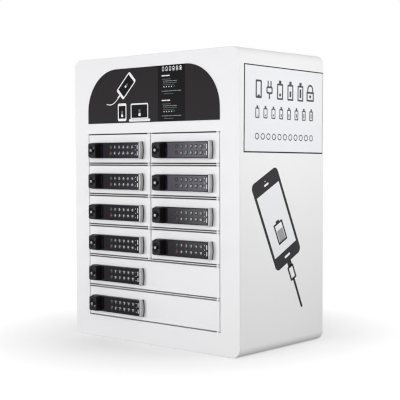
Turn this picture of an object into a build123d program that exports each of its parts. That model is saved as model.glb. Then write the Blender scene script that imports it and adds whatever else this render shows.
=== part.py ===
"""Charging locker: ten sheet-steel doors with keypad cam locks in one wrapped steel case.

The origin lies at the middle of the case's underside. X runs to the right as seen from
the front, Y runs from the front to the back, Z runs up. Millimetres throughout.
"""

import os
from collections import namedtuple
from math import radians, sqrt, tan

from build123d import *

os.makedirs("parts", exist_ok=True)

# Case: a wrapped sheet with rounded corners, closed by a front frame and a back panel
case_corner_radius = 20.0
least_corner_radius = 0.5
sheet = 1.5
fit_clearance = 0.3
frame_left = 45.0
frame_right = 50.0
frame_plate = 2.0
frame_edge_radius = 1.2
frame_seam = 0.3
frame_rim_depth = 14.0
bolt_down_spacing_x = 360.0
bolt_down_spacing_y = 180.0
bolt_down_radius = 4.5

# Door bay: two columns of small doors over full-width doors, a little left of the middle
bay_bottom = 47.0
bay_depth = 236.0
small_rows = 4
wide_rows = 2
shelf_setback = 1.0
divider_from_middle = 0.5

# Doors: folded pans that turn on pins near their right-hand edge
door_gap = 2.7
door_sheet = 1.5
door_flange = 14.0
door_bend_radius = 0.8
flange_clearance = 1.0
strike_overlap = 9.0
strike_gap = 0.5
strike_end_gap = 1.0

# Pivots: a pin through each shelf end, with a nylon washer between the shelf and each door
pivot_from_edge = 6.0
pin_radius = 1.5
pin_behind_frame = 0.5
pin_projection = 1.5
running_clearance = 0.05
washer_setback = 0.5
washer_play = 0.3

# Lock: moulded keypad case with a bowed metal end cap
lock_inset = 15.3
lock_inset_right = 18.95
lock_from_hinge_edge = 18.65
lock_drop = 3.8
lock_depth = 11.0
lock_case_length = 151.0
lock_case_height = 34.5
lock_corner_radius = 2.5
lock_edge_chamfer = 1.5
cap_overhang = 1.5
cap_length = 2.4
cap_bow = 2.6
cap_edge_radius = 1.5

# Keypad: tick and cross, then five columns of two numbered keys, all raised and tapered
key_columns = 6
key_rows = 2
key_pitch_x = 13.48
key_pitch_z = 13.1
key_rise = 0.6
last_key_from_cap = 18.1
key_radius = 4.5
key_sides = 8
key_height = 1.1
key_side_angle = 35.0
indicator_width = 4.0
indicator_height = 9.0
indicator_depth = 0.5
indicator_from_knob = 15.8

# Turning knob: a tapered block with a dished face and a key barrel at its middle
knob_from_end = 17.2
knob_width = 27.3
knob_height = 35.0
knob_depth = 12.5
knob_taper = 9.2
knob_corner_radius = 5.0
knob_edge_chamfer = 1.0
knob_clearance = 0.3
dish_margin = 2.33
dish_depth = 2.5
dish_side_angle = 35.0
barrel_radius = 3.0
barrel_projection = 3.0
keyway_length = 4.0
keyway_width = 1.0
keyway_depth = 2.5

# Spindle from the knob through the door, the cam on its square and the nut on its thread
spindle_square = 7.0
spindle_shoulder = 0.05
spindle_door_clearance = 1.0
thread_step = 0.1
cam_engagement = 4.35
cam_swing_clearance = 1.35
cam_wall = 2.5
cam_thickness = 2.0
cam_behind_strike = 0.4
cam_fit = 0.05
nut_wall = 2.6
nut_height = 4.0

# Printed panel over the doors
panel_over_bay = 22.5
panel_under_top = 26.5
panel_side_gap = 0.5
panel_height = 117.5
panel_corner_radius = 92.0
panel_thickness = 1.0

# Charging modules on the rear wall of the compartments, with room behind for their wires
module_flange_width = 5.0
module_flange_height = 3.5
module_plate_thickness = 2.0
module_body_width = 34.0
module_body_height = 17.0
module_body_depth = 24.0
port_width = 12.5
port_height = 5.6
port_depth = 14.0
wiring_clearance = 23.5

# Power unit in the head space, on the roof of the door bay
power_width = 230.0
power_depth = 112.0
power_height = 52.0
power_from_front = 70.0
power_edge_radius = 3.0
power_fins = 8
power_fin_pitch = 25.0
power_groove_width = 3.0
power_groove_depth = 3.0
power_foot_length = 14.0
power_foot_width = 60.0
power_foot_thickness = 2.0
power_foot_screw_radius = 2.25
power_foot_screw_spacing = 36.0

# Back panel: let into the shell against its rear flange, vented at the top
back_inset = 3.0
rear_flange_width = 16.0
back_screw_radius = 2.2
back_screw_spacing_x = 220.0
back_screw_spacing_z = 180.0
vent_rows = 8
vent_columns = 2
vent_length = 90.0
vent_width = 4.0
vent_pitch_x = 220.0
vent_pitch_z = 11.0
vents_under_top = 100.0

# Mains inlet in the back panel, beside the space under the bay
inlet_from_side = 91.5
inlet_over_flange = 4.75
inlet_wall = 1.5
inlet_back_wall = 10.0
inlet_flange_thickness = 2.0
inlet_flange_lip = 2.0
inlet_mouth_width = 24.0
inlet_mouth_height = 16.5
inlet_mouth_depth = 20.0
inlet_pin_length = 12.0
inlet_pin_width = 2.0
inlet_pin_height = 4.0
inlet_pin_spacing = 14.0
inlet_pin_stagger = 2.0
inlet_screw_from_body = 6.5
inlet_screw_from_end = 5.0
inlet_screw_radius = 1.7

# Sizes of the lock that follow from the sizes above
cap_height = lock_case_height + 2 * cap_overhang
dish_radius = knob_width / 2 - knob_depth * tan(radians(knob_taper)) - dish_margin
spindle_radius = spindle_square / sqrt(2) + spindle_shoulder
thread_radius = spindle_square / 2 - thread_step
cam_width = spindle_square + 2 * cam_wall
cam_reach = lock_inset_right + knob_from_end - strike_overlap + cam_engagement
nut_across_flats = 2 * (thread_radius + nut_wall)

# The cam sets the height of the doors, and the locks set their width
door_height = 2 * (cam_reach - lock_drop + cam_swing_clearance + door_sheet)
small_door_width = lock_inset + lock_case_length + cap_length + cap_bow + lock_from_hinge_edge
row_pitch = door_height + 2 * door_gap + sheet
rows = small_rows + wide_rows
bay_width = 2 * small_door_width + 3 * door_gap
bay_height = rows * row_pitch - sheet

# The case goes round the bay, the panel over it and the charging modules behind it
panel_width = bay_width - 2 * panel_side_gap
panel_bottom = bay_bottom + bay_height + panel_over_bay
case_width = frame_left + bay_width + frame_right
case_height = panel_bottom + panel_height + panel_under_top
case_depth = bay_depth + module_body_depth + wiring_clearance + sheet + back_inset

# Places across the case
bay_middle = (frame_left - frame_right) / 2
bay_left = bay_middle - bay_width / 2
bay_right = bay_middle + bay_width / 2
bay_middle_z = bay_bottom + bay_height / 2
divider_left = bay_middle + divider_from_middle
divider_right = divider_left + sheet

# Places from the front to the back
front_y = -case_depth / 2
back_y = case_depth / 2
bay_front_y = front_y + frame_plate
bay_rear_y = front_y + bay_depth
strike_front_y = front_y + door_sheet + strike_gap
pivot_y = bay_front_y + pin_behind_frame + pin_radius
washer_radius = pivot_y - front_y - washer_setback
lock_front_y = front_y - lock_depth
cam_front_y = strike_front_y + sheet + cam_behind_strike
back_panel_y = back_y - back_inset - sheet
frame_rim_inset = sheet + fit_clearance

# Mains inlet, built up from its mouth
inlet_body_width = inlet_mouth_width + 2 * inlet_wall
inlet_body_height = inlet_mouth_height + 2 * inlet_wall
inlet_body_depth = inlet_mouth_depth - inlet_flange_thickness + inlet_back_wall
inlet_screw_spacing = inlet_body_width + 2 * inlet_screw_from_body
inlet_flange_width = inlet_screw_spacing + 2 * inlet_screw_from_end
inlet_flange_height = inlet_body_height + 2 * inlet_flange_lip
inlet_x = case_width / 2 - inlet_from_side
inlet_z = sheet + rear_flange_width + inlet_over_flange + inlet_body_height / 2

Column = namedtuple("Column", "name left right door_left door_right lock_inset rows")
columns = [
    Column(
        name="left",
        left=bay_left,
        right=divider_left,
        door_left=bay_left + door_gap,
        door_right=bay_middle - door_gap / 2,
        lock_inset=lock_inset,
        rows=range(small_rows),
    ),
    Column(
        name="right",
        left=divider_right,
        right=bay_right,
        door_left=bay_middle + door_gap / 2,
        door_right=bay_right - door_gap,
        lock_inset=lock_inset_right,
        rows=range(small_rows),
    ),
    Column(
        name="wide",
        left=bay_left,
        right=bay_right,
        door_left=bay_left + door_gap,
        door_right=bay_right - door_gap,
        lock_inset=lock_inset,
        rows=range(small_rows, rows),
    ),
]
hinge_lines = [(columns[0].door_right - pivot_from_edge, small_rows)]
hinge_lines.append((columns[1].door_right - pivot_from_edge, rows))


def facing(y):
    """Plane parallel to the front at depth y: its x is X, its y is Z, its normal faces out."""
    return Plane.XZ.offset(-y)


def level_z(level):
    """Middle of a bay sheet's thickness: level 0 is the roof, the last one the floor."""
    return bay_bottom - sheet / 2 + (rows - level) * row_pitch


def row_z(row):
    """Middle height of a row of doors, counted from the top."""
    return level_z(row) - row_pitch / 2


def pivots_at(level):
    """Pivots in a bay sheet, each as x, whether a door is above it, whether one is below."""
    return [(x, level > 0, level < doors) for x, doors in hinge_lines if level <= doors]


def case_outline(inset, mode=Mode.ADD):
    """Rounded outline of the case, drawn inwards by inset, in a sketch that faces the front."""
    with Locations((0, case_height / 2)):
        RectangleRounded(
            case_width - 2 * inset,
            case_height - 2 * inset,
            max(case_corner_radius - inset, least_corner_radius),
            mode=mode,
        )


def back_screw_holes():
    """Screw holes through the back panel and the shell's rear flange, two rows each way."""
    from_edge = sheet + rear_flange_width / 2
    with Locations((0, case_height / 2)):
        with GridLocations(case_width - 2 * from_edge, back_screw_spacing_z, 2, 3):
            Circle(back_screw_radius, mode=Mode.SUBTRACT)
        with GridLocations(back_screw_spacing_x, case_height - 2 * from_edge, 2, 2):
            Circle(back_screw_radius, mode=Mode.SUBTRACT)


def keep(piece, label):
    """Name a finished piece and write it to its own file."""
    piece.part.label = label
    export_step(piece.part, f"parts/{label}.step")


# Case shell: one sheet wrapped into a tube, with a return flange at the back
with BuildPart() as case_shell:
    with BuildSketch(facing(back_y)):
        case_outline(0)
        case_outline(sheet, Mode.SUBTRACT)
    extrude(amount=case_depth - frame_plate - frame_seam)
    with BuildSketch(facing(back_panel_y)):
        case_outline(sheet / 2)
        case_outline(sheet + rear_flange_width, Mode.SUBTRACT)
        back_screw_holes()
    extrude(amount=sheet)
    with BuildSketch(Plane.XY):
        with GridLocations(bolt_down_spacing_x, bolt_down_spacing_y, 2, 2):
            Circle(bolt_down_radius)
    extrude(amount=sheet, mode=Mode.SUBTRACT)
keep(case_shell, "case_shell")

# Front frame: a plate round the door bay, with a rim that plugs into the shell
with BuildPart() as front_frame:
    with BuildSketch(facing(bay_front_y)):
        case_outline(0)
        with Locations((bay_middle, bay_middle_z)):
            Rectangle(bay_width, bay_height, mode=Mode.SUBTRACT)
    extrude(amount=frame_plate)
    fillet(front_frame.faces().sort_by(Axis.Y)[0].outer_wire().edges(), frame_edge_radius)
    with BuildSketch(facing(bay_front_y)):
        case_outline(frame_rim_inset)
        case_outline(frame_rim_inset + sheet, Mode.SUBTRACT)
    extrude(amount=-frame_rim_depth)
keep(front_frame, "front_frame")

# Printed panel: a thin plate with two large upper corners, bonded on over the doors
with BuildPart() as graphic_panel:
    with BuildSketch(facing(front_y)) as panel_outline:
        with Locations((bay_middle, panel_bottom + panel_height / 2)):
            Rectangle(panel_width, panel_height)
        fillet(panel_outline.vertices().group_by(Axis.Y)[-1], panel_corner_radius)
    extrude(amount=panel_thickness)
keep(graphic_panel, "graphic_panel")

# Side walls of the bay, one sheet against each jamb of the front frame
with BuildPart() as bay_walls:
    with BuildSketch(Plane.XY.offset(bay_bottom)):
        with Locations((bay_left - sheet / 2, bay_front_y), (bay_right + sheet / 2, bay_front_y)):
            Rectangle(sheet, bay_depth - frame_plate, align=(Align.CENTER, Align.MIN))
    extrude(amount=bay_height)
keep(bay_walls, "bay_walls")

# Column dividers: one upright between each pair of shelves, behind the small doors' gap
with BuildPart() as column_dividers:
    for row in range(small_rows):
        with BuildSketch(Plane.XY.offset(level_z(row + 1) + sheet / 2)):
            with Locations((divider_left, bay_front_y)):
                Rectangle(sheet, bay_depth - frame_plate, align=Align.MIN)
        extrude(amount=row_pitch - sheet)
keep(column_dividers, "column_dividers")

# Strike plates: welded to the wall behind each door's free edge, for the cam to turn behind
with BuildPart() as strike_plates:
    for column in columns:
        for row in column.rows:
            strike_height = door_height - 2 * strike_end_gap
            with BuildSketch(Plane.XY.offset(row_z(row) - strike_height / 2)):
                with Locations((column.left, strike_front_y)):
                    reach = column.door_left + strike_overlap - column.left
                    Rectangle(reach, sheet, align=Align.MIN)
            extrude(amount=strike_height)
keep(strike_plates, "strike_plates")


def make_bay_sheet(level, label):
    """Roof, shelf or floor of the bay, drilled for the pivot pins of the doors beside it."""
    outer = level in (0, rows)
    front_gap = frame_plate if outer else shelf_setback
    width = bay_width + 2 * sheet if outer else bay_width
    with BuildPart() as bay_sheet:
        with BuildSketch(Plane.XY.offset(level_z(level) - sheet / 2)):
            with Locations((bay_middle, front_y + front_gap)):
                Rectangle(width, bay_depth - front_gap, align=(Align.CENTER, Align.MIN))
            for x, _, _ in pivots_at(level):
                with Locations((x, pivot_y)):
                    Circle(pin_radius, mode=Mode.SUBTRACT)
        extrude(amount=sheet)
    keep(bay_sheet, label)


make_bay_sheet(0, "bay_roof")
for level in range(1, rows):
    make_bay_sheet(level, f"shelf_{level}")
make_bay_sheet(rows, "bay_floor")

module_places = [
    ((column.left + column.right) / 2, row_z(row)) for column in columns for row in column.rows
]

# Charging wall: closes the compartments at the back and carries their charging modules
with BuildPart() as charging_wall:
    with BuildSketch(facing(bay_rear_y)):
        with Locations((bay_middle, bay_middle_z)):
            Rectangle(bay_width + 2 * sheet, bay_height + 2 * sheet)
        with Locations(*module_places):
            Rectangle(
                module_body_width + 2 * fit_clearance,
                module_body_height + 2 * fit_clearance,
                mode=Mode.SUBTRACT,
            )
    extrude(amount=-sheet)
keep(charging_wall, "charging_wall")

# Charging modules: a face plate in front of the wall, a body behind it, one port in each
with BuildPart() as charging_modules:
    with BuildSketch(facing(bay_rear_y)):
        with Locations(*module_places):
            Rectangle(
                module_body_width + 2 * module_flange_width,
                module_body_height + 2 * module_flange_height,
            )
    extrude(amount=module_plate_thickness)
    with BuildSketch(facing(bay_rear_y)):
        with Locations(*module_places):
            Rectangle(module_body_width, module_body_height)
    extrude(amount=-module_body_depth)
    with BuildSketch(facing(bay_rear_y - module_plate_thickness)):
        with Locations(*module_places):
            Rectangle(port_width, port_height)
    extrude(amount=-port_depth, mode=Mode.SUBTRACT)
keep(charging_modules, "charging_modules")

# Pivot pins: pressed through each drilled sheet, long enough to enter the door flanges
with BuildPart() as pivot_pins:
    pin_reach = sheet / 2 + door_gap + door_sheet + pin_projection
    for level in range(rows + 1):
        for x, door_above, door_below in pivots_at(level):
            down = pin_reach if door_below else sheet / 2
            up = pin_reach if door_above else sheet / 2
            with BuildSketch(Plane.XY.offset(level_z(level) - down)):
                with Locations((x, pivot_y)):
                    Circle(pin_radius)
            extrude(amount=down + up)
keep(pivot_pins, "pivot_pins")

# Nylon washers: on the pins, between the bay sheet and each door that hangs on it
with BuildPart() as pivot_washers:
    washer_height = door_gap - washer_play
    for level in range(rows + 1):
        for x, door_above, door_below in pivots_at(level):
            bottoms = [level_z(level) + sheet / 2] if door_above else []
            if door_below:
                bottoms.append(level_z(level) - sheet / 2 - washer_height)
            for bottom in bottoms:
                with BuildSketch(Plane.XY.offset(bottom)):
                    with Locations((x, pivot_y)):
                        Circle(washer_radius)
                        Circle(pin_radius, mode=Mode.SUBTRACT)
                extrude(amount=washer_height)
keep(pivot_washers, "pivot_washers")

# Power unit: a grooved case on two screwed feet, standing on the roof of the bay
with BuildPart() as power_unit:
    power_base = Plane.XY.offset(level_z(0) + sheet / 2)
    power_middle = (bay_middle, front_y + power_from_front + power_depth / 2)
    with BuildSketch(power_base):
        with Locations(power_middle):
            RectangleRounded(power_width, power_depth, power_edge_radius)
    extrude(amount=power_height)
    with BuildSketch(power_base.offset(power_height)):
        with Locations(power_middle):
            with GridLocations(power_fin_pitch, 0, power_fins, 1):
                Rectangle(power_groove_width, power_depth)
    extrude(amount=-power_groove_depth, mode=Mode.SUBTRACT)
    with BuildSketch(power_base):
        with Locations(power_middle):
            Rectangle(power_width + 2 * power_foot_length, power_foot_width)
            with GridLocations(power_width + power_foot_length, power_foot_screw_spacing, 2, 2):
                Circle(power_foot_screw_radius, mode=Mode.SUBTRACT)
    extrude(amount=power_foot_thickness)
keep(power_unit, "power_unit")

inlet_place = (inlet_x, inlet_z)

# Back panel: a flat sheet inside the shell's rear edge, with vents and the inlet's cut-out
with BuildPart() as back_panel:
    with BuildSketch(facing(back_panel_y)):
        case_outline(sheet + fit_clearance)
        back_screw_holes()
        with Locations((0, case_height - vents_under_top)):
            with GridLocations(vent_pitch_x, vent_pitch_z, vent_columns, vent_rows):
                SlotOverall(vent_length, vent_width, mode=Mode.SUBTRACT)
        with Locations(inlet_place):
            Rectangle(
                inlet_body_width + 2 * fit_clearance,
                inlet_body_height + 2 * fit_clearance,
                mode=Mode.SUBTRACT,
            )
            with GridLocations(inlet_screw_spacing, 0, 2, 1):
                Circle(inlet_screw_radius, mode=Mode.SUBTRACT)
    extrude(amount=-sheet)
keep(back_panel, "back_panel")

# Mains inlet: flange on the outside of the back panel, three blades in an open mouth
with BuildPart() as power_inlet:
    with BuildSketch(facing(back_panel_y + sheet)):
        with Locations(inlet_place):
            SlotOverall(inlet_flange_width, inlet_flange_height)
            with GridLocations(inlet_screw_spacing, 0, 2, 1):
                Circle(inlet_screw_radius, mode=Mode.SUBTRACT)
    extrude(amount=-inlet_flange_thickness)
    with BuildSketch(facing(back_panel_y + sheet)):
        with Locations(inlet_place):
            Rectangle(inlet_body_width, inlet_body_height)
    extrude(amount=inlet_body_depth)
    mouth_y = back_panel_y + sheet + inlet_flange_thickness
    with BuildSketch(facing(mouth_y)):
        with Locations(inlet_place):
            Rectangle(inlet_mouth_width, inlet_mouth_height)
    extrude(amount=inlet_mouth_depth, mode=Mode.SUBTRACT)
    with BuildSketch(facing(mouth_y - inlet_mouth_depth)):
        with Locations(inlet_place):
            with Locations((0, inlet_pin_stagger)):
                Rectangle(inlet_pin_width, inlet_pin_height)
            with Locations((0, -inlet_pin_stagger)):
                with GridLocations(inlet_pin_spacing, 0, 2, 1):
                    Rectangle(inlet_pin_width, inlet_pin_height)
    extrude(amount=-inlet_pin_length)
keep(power_inlet, "power_inlet")


def make_door(label, column, middle_z, knob_x, lock_z):
    """Folded door pan: face, top, bottom and hinge-side flanges, pivot and spindle holes."""
    flange_left = column.door_left + strike_overlap + flange_clearance
    with BuildPart() as door:
        with BuildSketch(facing(front_y + door_sheet)):
            with Locations((column.door_left, middle_z)):
                width = column.door_right - column.door_left
                Rectangle(width, door_height, align=(Align.MIN, Align.CENTER))
        extrude(amount=door_sheet)
        fillet(door.faces().sort_by(Axis.Y)[0].outer_wire().edges(), door_bend_radius)
        with BuildSketch(facing(front_y + door_sheet)):
            with Locations((column.door_right, middle_z)):
                width = column.door_right - flange_left
                Rectangle(width, door_height, align=(Align.MAX, Align.CENTER))
            with Locations((column.door_right - door_sheet, middle_z)):
                inner_height = door_height - 2 * door_sheet
                Rectangle(
                    width,
                    inner_height,
                    align=(Align.MAX, Align.CENTER),
                    mode=Mode.SUBTRACT,
                )
        extrude(amount=-(door_flange - door_sheet))
        with Locations((column.door_right - pivot_from_edge, pivot_y, middle_z)):
            Cylinder(pin_radius + running_clearance, door_height, mode=Mode.SUBTRACT)
        with BuildSketch(facing(front_y)):
            with Locations((knob_x, lock_z)):
                Circle(spindle_radius + spindle_door_clearance)
        extrude(amount=-door_sheet, mode=Mode.SUBTRACT)
    keep(door, label)


def make_lock_case(label, lock_left, knob_x, lock_z):
    """Moulded keypad case with raised keys, an indicator window and the spindle's bearing."""
    with BuildPart() as lock_case:
        with BuildSketch(facing(front_y)):
            with Locations((lock_left + lock_case_length / 2, lock_z)):
                RectangleRounded(lock_case_length, lock_case_height, lock_corner_radius)
        extrude(amount=lock_depth)
        chamfer(lock_case.faces().sort_by(Axis.Y)[0].outer_wire().edges(), lock_edge_chamfer)
        with BuildSketch(facing(lock_front_y)):
            with Locations((knob_x, lock_z)):
                Circle(spindle_radius + running_clearance)
        extrude(amount=-lock_depth, mode=Mode.SUBTRACT)
        with BuildSketch(facing(lock_front_y)):
            with Locations((knob_x + indicator_from_knob, lock_z)):
                Rectangle(indicator_width, indicator_height)
        extrude(amount=-indicator_depth, mode=Mode.SUBTRACT)
        with BuildSketch(facing(lock_front_y)):
            last_key_x = lock_left + lock_case_length - last_key_from_cap
            keypad_x = last_key_x - key_pitch_x * (key_columns - 1) / 2
            with Locations((keypad_x, lock_z + key_rise)):
                with GridLocations(key_pitch_x, key_pitch_z, key_columns, key_rows):
                    RegularPolygon(key_radius, key_sides)
        extrude(amount=key_height, taper=key_side_angle)
    keep(lock_case, label)


def make_lock_cap(label, cap_left, lock_z):
    """Metal end cap: square where it meets the case, bowed outwards at its free end."""
    half = cap_height / 2
    cap_right = cap_left + cap_length
    with BuildPart() as lock_cap:
        with BuildSketch(facing(front_y)):
            with BuildLine():
                Polyline(
                    (cap_right, lock_z + half),
                    (cap_left, lock_z + half),
                    (cap_left, lock_z - half),
                    (cap_right, lock_z - half),
                )
                ThreePointArc(
                    (cap_right, lock_z - half),
                    (cap_right + cap_bow, lock_z),
                    (cap_right, lock_z + half),
                )
            make_face()
        extrude(amount=lock_depth)
        front_edges = lock_cap.faces().sort_by(Axis.Y)[0].edges()
        fillet(front_edges.filter_by(GeomType.CIRCLE), cap_edge_radius)
    keep(lock_cap, label)


def make_lock_knob(label, knob_x, lock_z):
    """Knob with its key barrel and stepped spindle, the cam and the nut behind the door."""
    knob_rear_y = lock_front_y - knob_clearance
    knob_front_y = knob_rear_y - knob_depth
    cam_rear_y = cam_front_y + cam_thickness
    with BuildPart() as lock_knob:
        with BuildSketch(facing(knob_rear_y)):
            with Locations((knob_x, lock_z)):
                RectangleRounded(knob_width, knob_height, knob_corner_radius)
        extrude(amount=knob_depth, taper=knob_taper)
        chamfer(lock_knob.faces().sort_by(Axis.Y)[0].outer_wire().edges(), knob_edge_chamfer)
        with BuildSketch(facing(knob_front_y)):
            with Locations((knob_x, lock_z)):
                Circle(dish_radius)
        extrude(amount=-dish_depth, taper=dish_side_angle, mode=Mode.SUBTRACT)
        with BuildSketch(facing(knob_front_y + dish_depth)):
            with Locations((knob_x, lock_z)):
                Circle(barrel_radius)
        extrude(amount=dish_depth + barrel_projection)
        with BuildSketch(facing(knob_front_y - barrel_projection)):
            with Locations((knob_x, lock_z)):
                Rectangle(keyway_width, keyway_length)
        extrude(amount=-keyway_depth, mode=Mode.SUBTRACT)
        with BuildSketch(facing(knob_rear_y)):
            with Locations((knob_x, lock_z)):
                Circle(spindle_radius)
        extrude(amount=-(cam_front_y - cam_fit - knob_rear_y))
        with BuildSketch(facing(cam_front_y - cam_fit)):
            with Locations((knob_x, lock_z)):
                Rectangle(spindle_square, spindle_square)
        extrude(amount=-(cam_thickness + cam_fit))
        with BuildSketch(facing(cam_rear_y)):
            with Locations((knob_x, lock_z)):
                Circle(thread_radius)
        extrude(amount=-(cam_fit + nut_height))
        with BuildSketch(facing(cam_front_y)):
            with Locations((knob_x, lock_z)):
                tip = cam_reach - cam_width / 2
                SlotCenterPoint((0, tip / 2), (0, tip), cam_width)
                cam_hole = spindle_square + 2 * cam_fit
                Rectangle(cam_hole, cam_hole, mode=Mode.SUBTRACT)
        extrude(amount=-cam_thickness)
        with BuildSketch(facing(cam_rear_y + cam_fit)):
            with Locations((knob_x, lock_z)):
                RegularPolygon(nut_across_flats / 2, 6, major_radius=False)
                Circle(thread_radius + cam_fit, mode=Mode.SUBTRACT)
        extrude(amount=-nut_height)
    keep(lock_knob, label)


# Ten doors, each with its lock, named by column and by row from the top
for column in columns:
    for row in column.rows:
        place = f"{column.name}_{row + 1}"
        lock_left = column.door_left + column.lock_inset
        lock_z = row_z(row) - lock_drop
        knob_x = lock_left + knob_from_end
        make_door(f"door_{place}", column, row_z(row), knob_x, lock_z)
        make_lock_case(f"lock_case_{place}", lock_left, knob_x, lock_z)
        make_lock_cap(f"lock_cap_{place}", lock_left + lock_case_length, lock_z)
        make_lock_knob(f"lock_knob_{place}", knob_x, lock_z)
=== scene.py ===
import math

import bmesh
import bpy
from mathutils import Matrix, Vector
from mathutils.geometry import tessellate_polygon


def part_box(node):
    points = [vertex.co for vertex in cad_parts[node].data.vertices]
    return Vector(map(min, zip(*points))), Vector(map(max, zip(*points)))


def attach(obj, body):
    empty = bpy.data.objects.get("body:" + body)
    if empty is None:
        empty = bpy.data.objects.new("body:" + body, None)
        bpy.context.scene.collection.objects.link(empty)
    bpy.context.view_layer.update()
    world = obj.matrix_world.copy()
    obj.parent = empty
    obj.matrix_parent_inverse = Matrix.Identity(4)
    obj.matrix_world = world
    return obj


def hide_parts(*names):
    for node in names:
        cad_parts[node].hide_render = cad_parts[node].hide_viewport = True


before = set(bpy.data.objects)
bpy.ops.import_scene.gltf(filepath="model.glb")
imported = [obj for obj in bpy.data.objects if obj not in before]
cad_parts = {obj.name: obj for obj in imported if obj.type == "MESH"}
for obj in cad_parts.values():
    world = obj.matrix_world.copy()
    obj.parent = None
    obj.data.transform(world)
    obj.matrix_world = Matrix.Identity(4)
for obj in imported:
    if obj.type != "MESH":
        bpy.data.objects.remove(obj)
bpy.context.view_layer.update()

# Case shell: one sheet of 1.5 mm steel wrapped into a tube with 20 mm corners, welded under
# the floor, with a return flange at the back for the back panel's screws. White polyester
# powder is baked on it: nearly as bright as paper, semi-matt, with a slight orange peel.

SHEET = 1.5
CASE_CORNER = 20.0
CASE_STEPS = 16
SHELL_EDGE = 0.7
BACK_INSET = 3.0
REAR_FLANGE = 16.0
BOLT_SPACING = (360.0, 180.0)
BOLT_RADIUS = 4.5


def linear(code):
    """An sRGB hex colour as the linear colour that shaders take."""
    channels = [int(code[i:i + 2], 16) / 255 for i in (0, 2, 4)]
    straight = [c / 12.92 if c <= 0.04045 else ((c + 0.055) / 1.055) ** 2.4 for c in channels]
    return (*straight, 1.0)


def add_node(tree, kind, settings, links=()):
    """Add a node, set its properties and input values, and link its inputs to other nodes."""
    node = tree.nodes.new(kind)
    for name, value in settings.items():
        if isinstance(name, int) or name in node.inputs:
            node.inputs[name].default_value = value
        else:
            setattr(node, name, value)
    for name, source in dict(links).items():
        tree.links.new(source, node.inputs[name])
    return node


def start_material(name, code, roughness, metallic=0.0, **sockets):
    """A material with one Principled shader, its even values set on the shader itself."""
    material = bpy.data.materials.new(name)
    material.use_nodes = True
    shader = material.node_tree.nodes["Principled BSDF"]
    shader.inputs["Base Color"].default_value = linear(code)
    shader.inputs["Roughness"].default_value = roughness
    shader.inputs["Metallic"].default_value = metallic
    for socket, value in sockets.items():
        shader.inputs[socket.replace("_", " ")].default_value = value
    return material, material.node_tree, shader


def skin(tree, shader, place, grain, relief, smoothest, roughest):
    """Surface grain of a real size and relief in mm, which also varies the roughness."""
    noise = add_node(
        tree,
        "ShaderNodeTexNoise",
        {"Scale": 1000 / grain, "Detail": 3.0, "Roughness": 0.55},
        {"Vector": place.outputs["Object"]},
    )
    gloss = add_node(
        tree,
        "ShaderNodeMapRange",
        {"From Min": 0.3, "From Max": 0.7, "To Min": smoothest, "To Max": roughest},
        {"Value": noise.outputs["Fac"]},
    )
    bump = add_node(
        tree,
        "ShaderNodeBump",
        {"Distance": relief / 1000},
        {"Height": noise.outputs["Fac"]},
    )
    tree.links.new(gloss.outputs["Result"], shader.inputs["Roughness"])
    tree.links.new(bump.outputs["Normal"], shader.inputs["Normal"])


def tint(tree, shader, place, patch, darker, lighter):
    """Slow drift of the colour between two close tones, in patches of a size in mm."""
    clouds = add_node(
        tree,
        "ShaderNodeTexNoise",
        {"Scale": 1000 / patch, "Detail": 2.0},
        {"Vector": place.outputs["Object"]},
    )
    tones = add_node(
        tree,
        "ShaderNodeMix",
        {"data_type": "RGBA", 6: linear(darker), 7: linear(lighter)},
        {0: clouds.outputs["Fac"]},
    )
    tree.links.new(tones.outputs[2], shader.inputs["Base Color"])


def surface(name, code, roughness, grain, relief, spread, tones=(), patch=0.0, **sockets):
    """A material with a grain and relief in mm, a spread of roughness and patches of tones."""
    material, tree, shader = start_material(name, code, roughness, **sockets)
    place = add_node(tree, "ShaderNodeTexCoord", {})
    skin(tree, shader, place, grain, relief, *spread)
    if tones:
        tint(tree, shader, place, patch, *tones)
    return material


def powder_coat(name, darker, lighter):
    """Baked powder with orange peel about 2.5 mm across, drawn a little deeper than real."""
    return surface(
        name, lighter, 0.42, grain=2.5, relief=0.02, spread=(0.38, 0.48),
        tones=(darker, lighter), patch=180.0, IOR=1.5,
    )


case_powder = powder_coat("white_powder_coat_case", "F0F0F1", "F3F3F3")


def box_mm(node):
    """Lowest and highest corner of a CAD node at rest, in millimetres."""
    return [corner * 1000 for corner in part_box(node)]


def tidy_mesh(mesh):
    """Merge doubled points, drop faces without area and turn all faces outwards."""
    work = bmesh.new()
    work.from_mesh(mesh)
    bmesh.ops.remove_doubles(work, verts=work.verts, dist=1e-6)
    bmesh.ops.dissolve_degenerate(work, edges=work.edges, dist=1e-7)
    bmesh.ops.recalc_face_normals(work, faces=work.faces)
    work.to_mesh(mesh)
    work.free()


def new_piece(name, points, faces, material):
    """A mesh object at the origin from points in millimetres, with its faces turned out."""
    mesh = bpy.data.meshes.new(name)
    mesh.from_pydata([Vector(point) / 1000 for point in points], [], faces)
    mesh.materials.append(material)
    tidy_mesh(mesh)
    piece = bpy.data.objects.new(name, mesh)
    bpy.context.collection.objects.link(piece)
    return piece


def ring(x, z, width, height, radius, y, steps=10):
    """Rounded rectangle round (x, z) at depth y, as seen from the front."""
    points = []
    for corner, (right, up) in enumerate(((1, 1), (-1, 1), (-1, -1), (1, -1))):
        for step in range(steps + 1):
            turn = math.radians(90 * (corner + step / steps))
            points.append((
                x + right * (width / 2 - radius) + radius * math.cos(turn),
                y,
                z + up * (height / 2 - radius) + radius * math.sin(turn),
            ))
    return points


def quarter_round(inset, y, radius, steps=4):
    """Insets and depths of an edge that rounds over from a side wall to a face at depth y."""
    turns = [math.radians(90 * step / steps) for step in range(steps + 1)]
    return [(inset + radius * (1 - math.cos(a)), y + radius * (1 - math.sin(a))) for a in turns]


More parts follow.
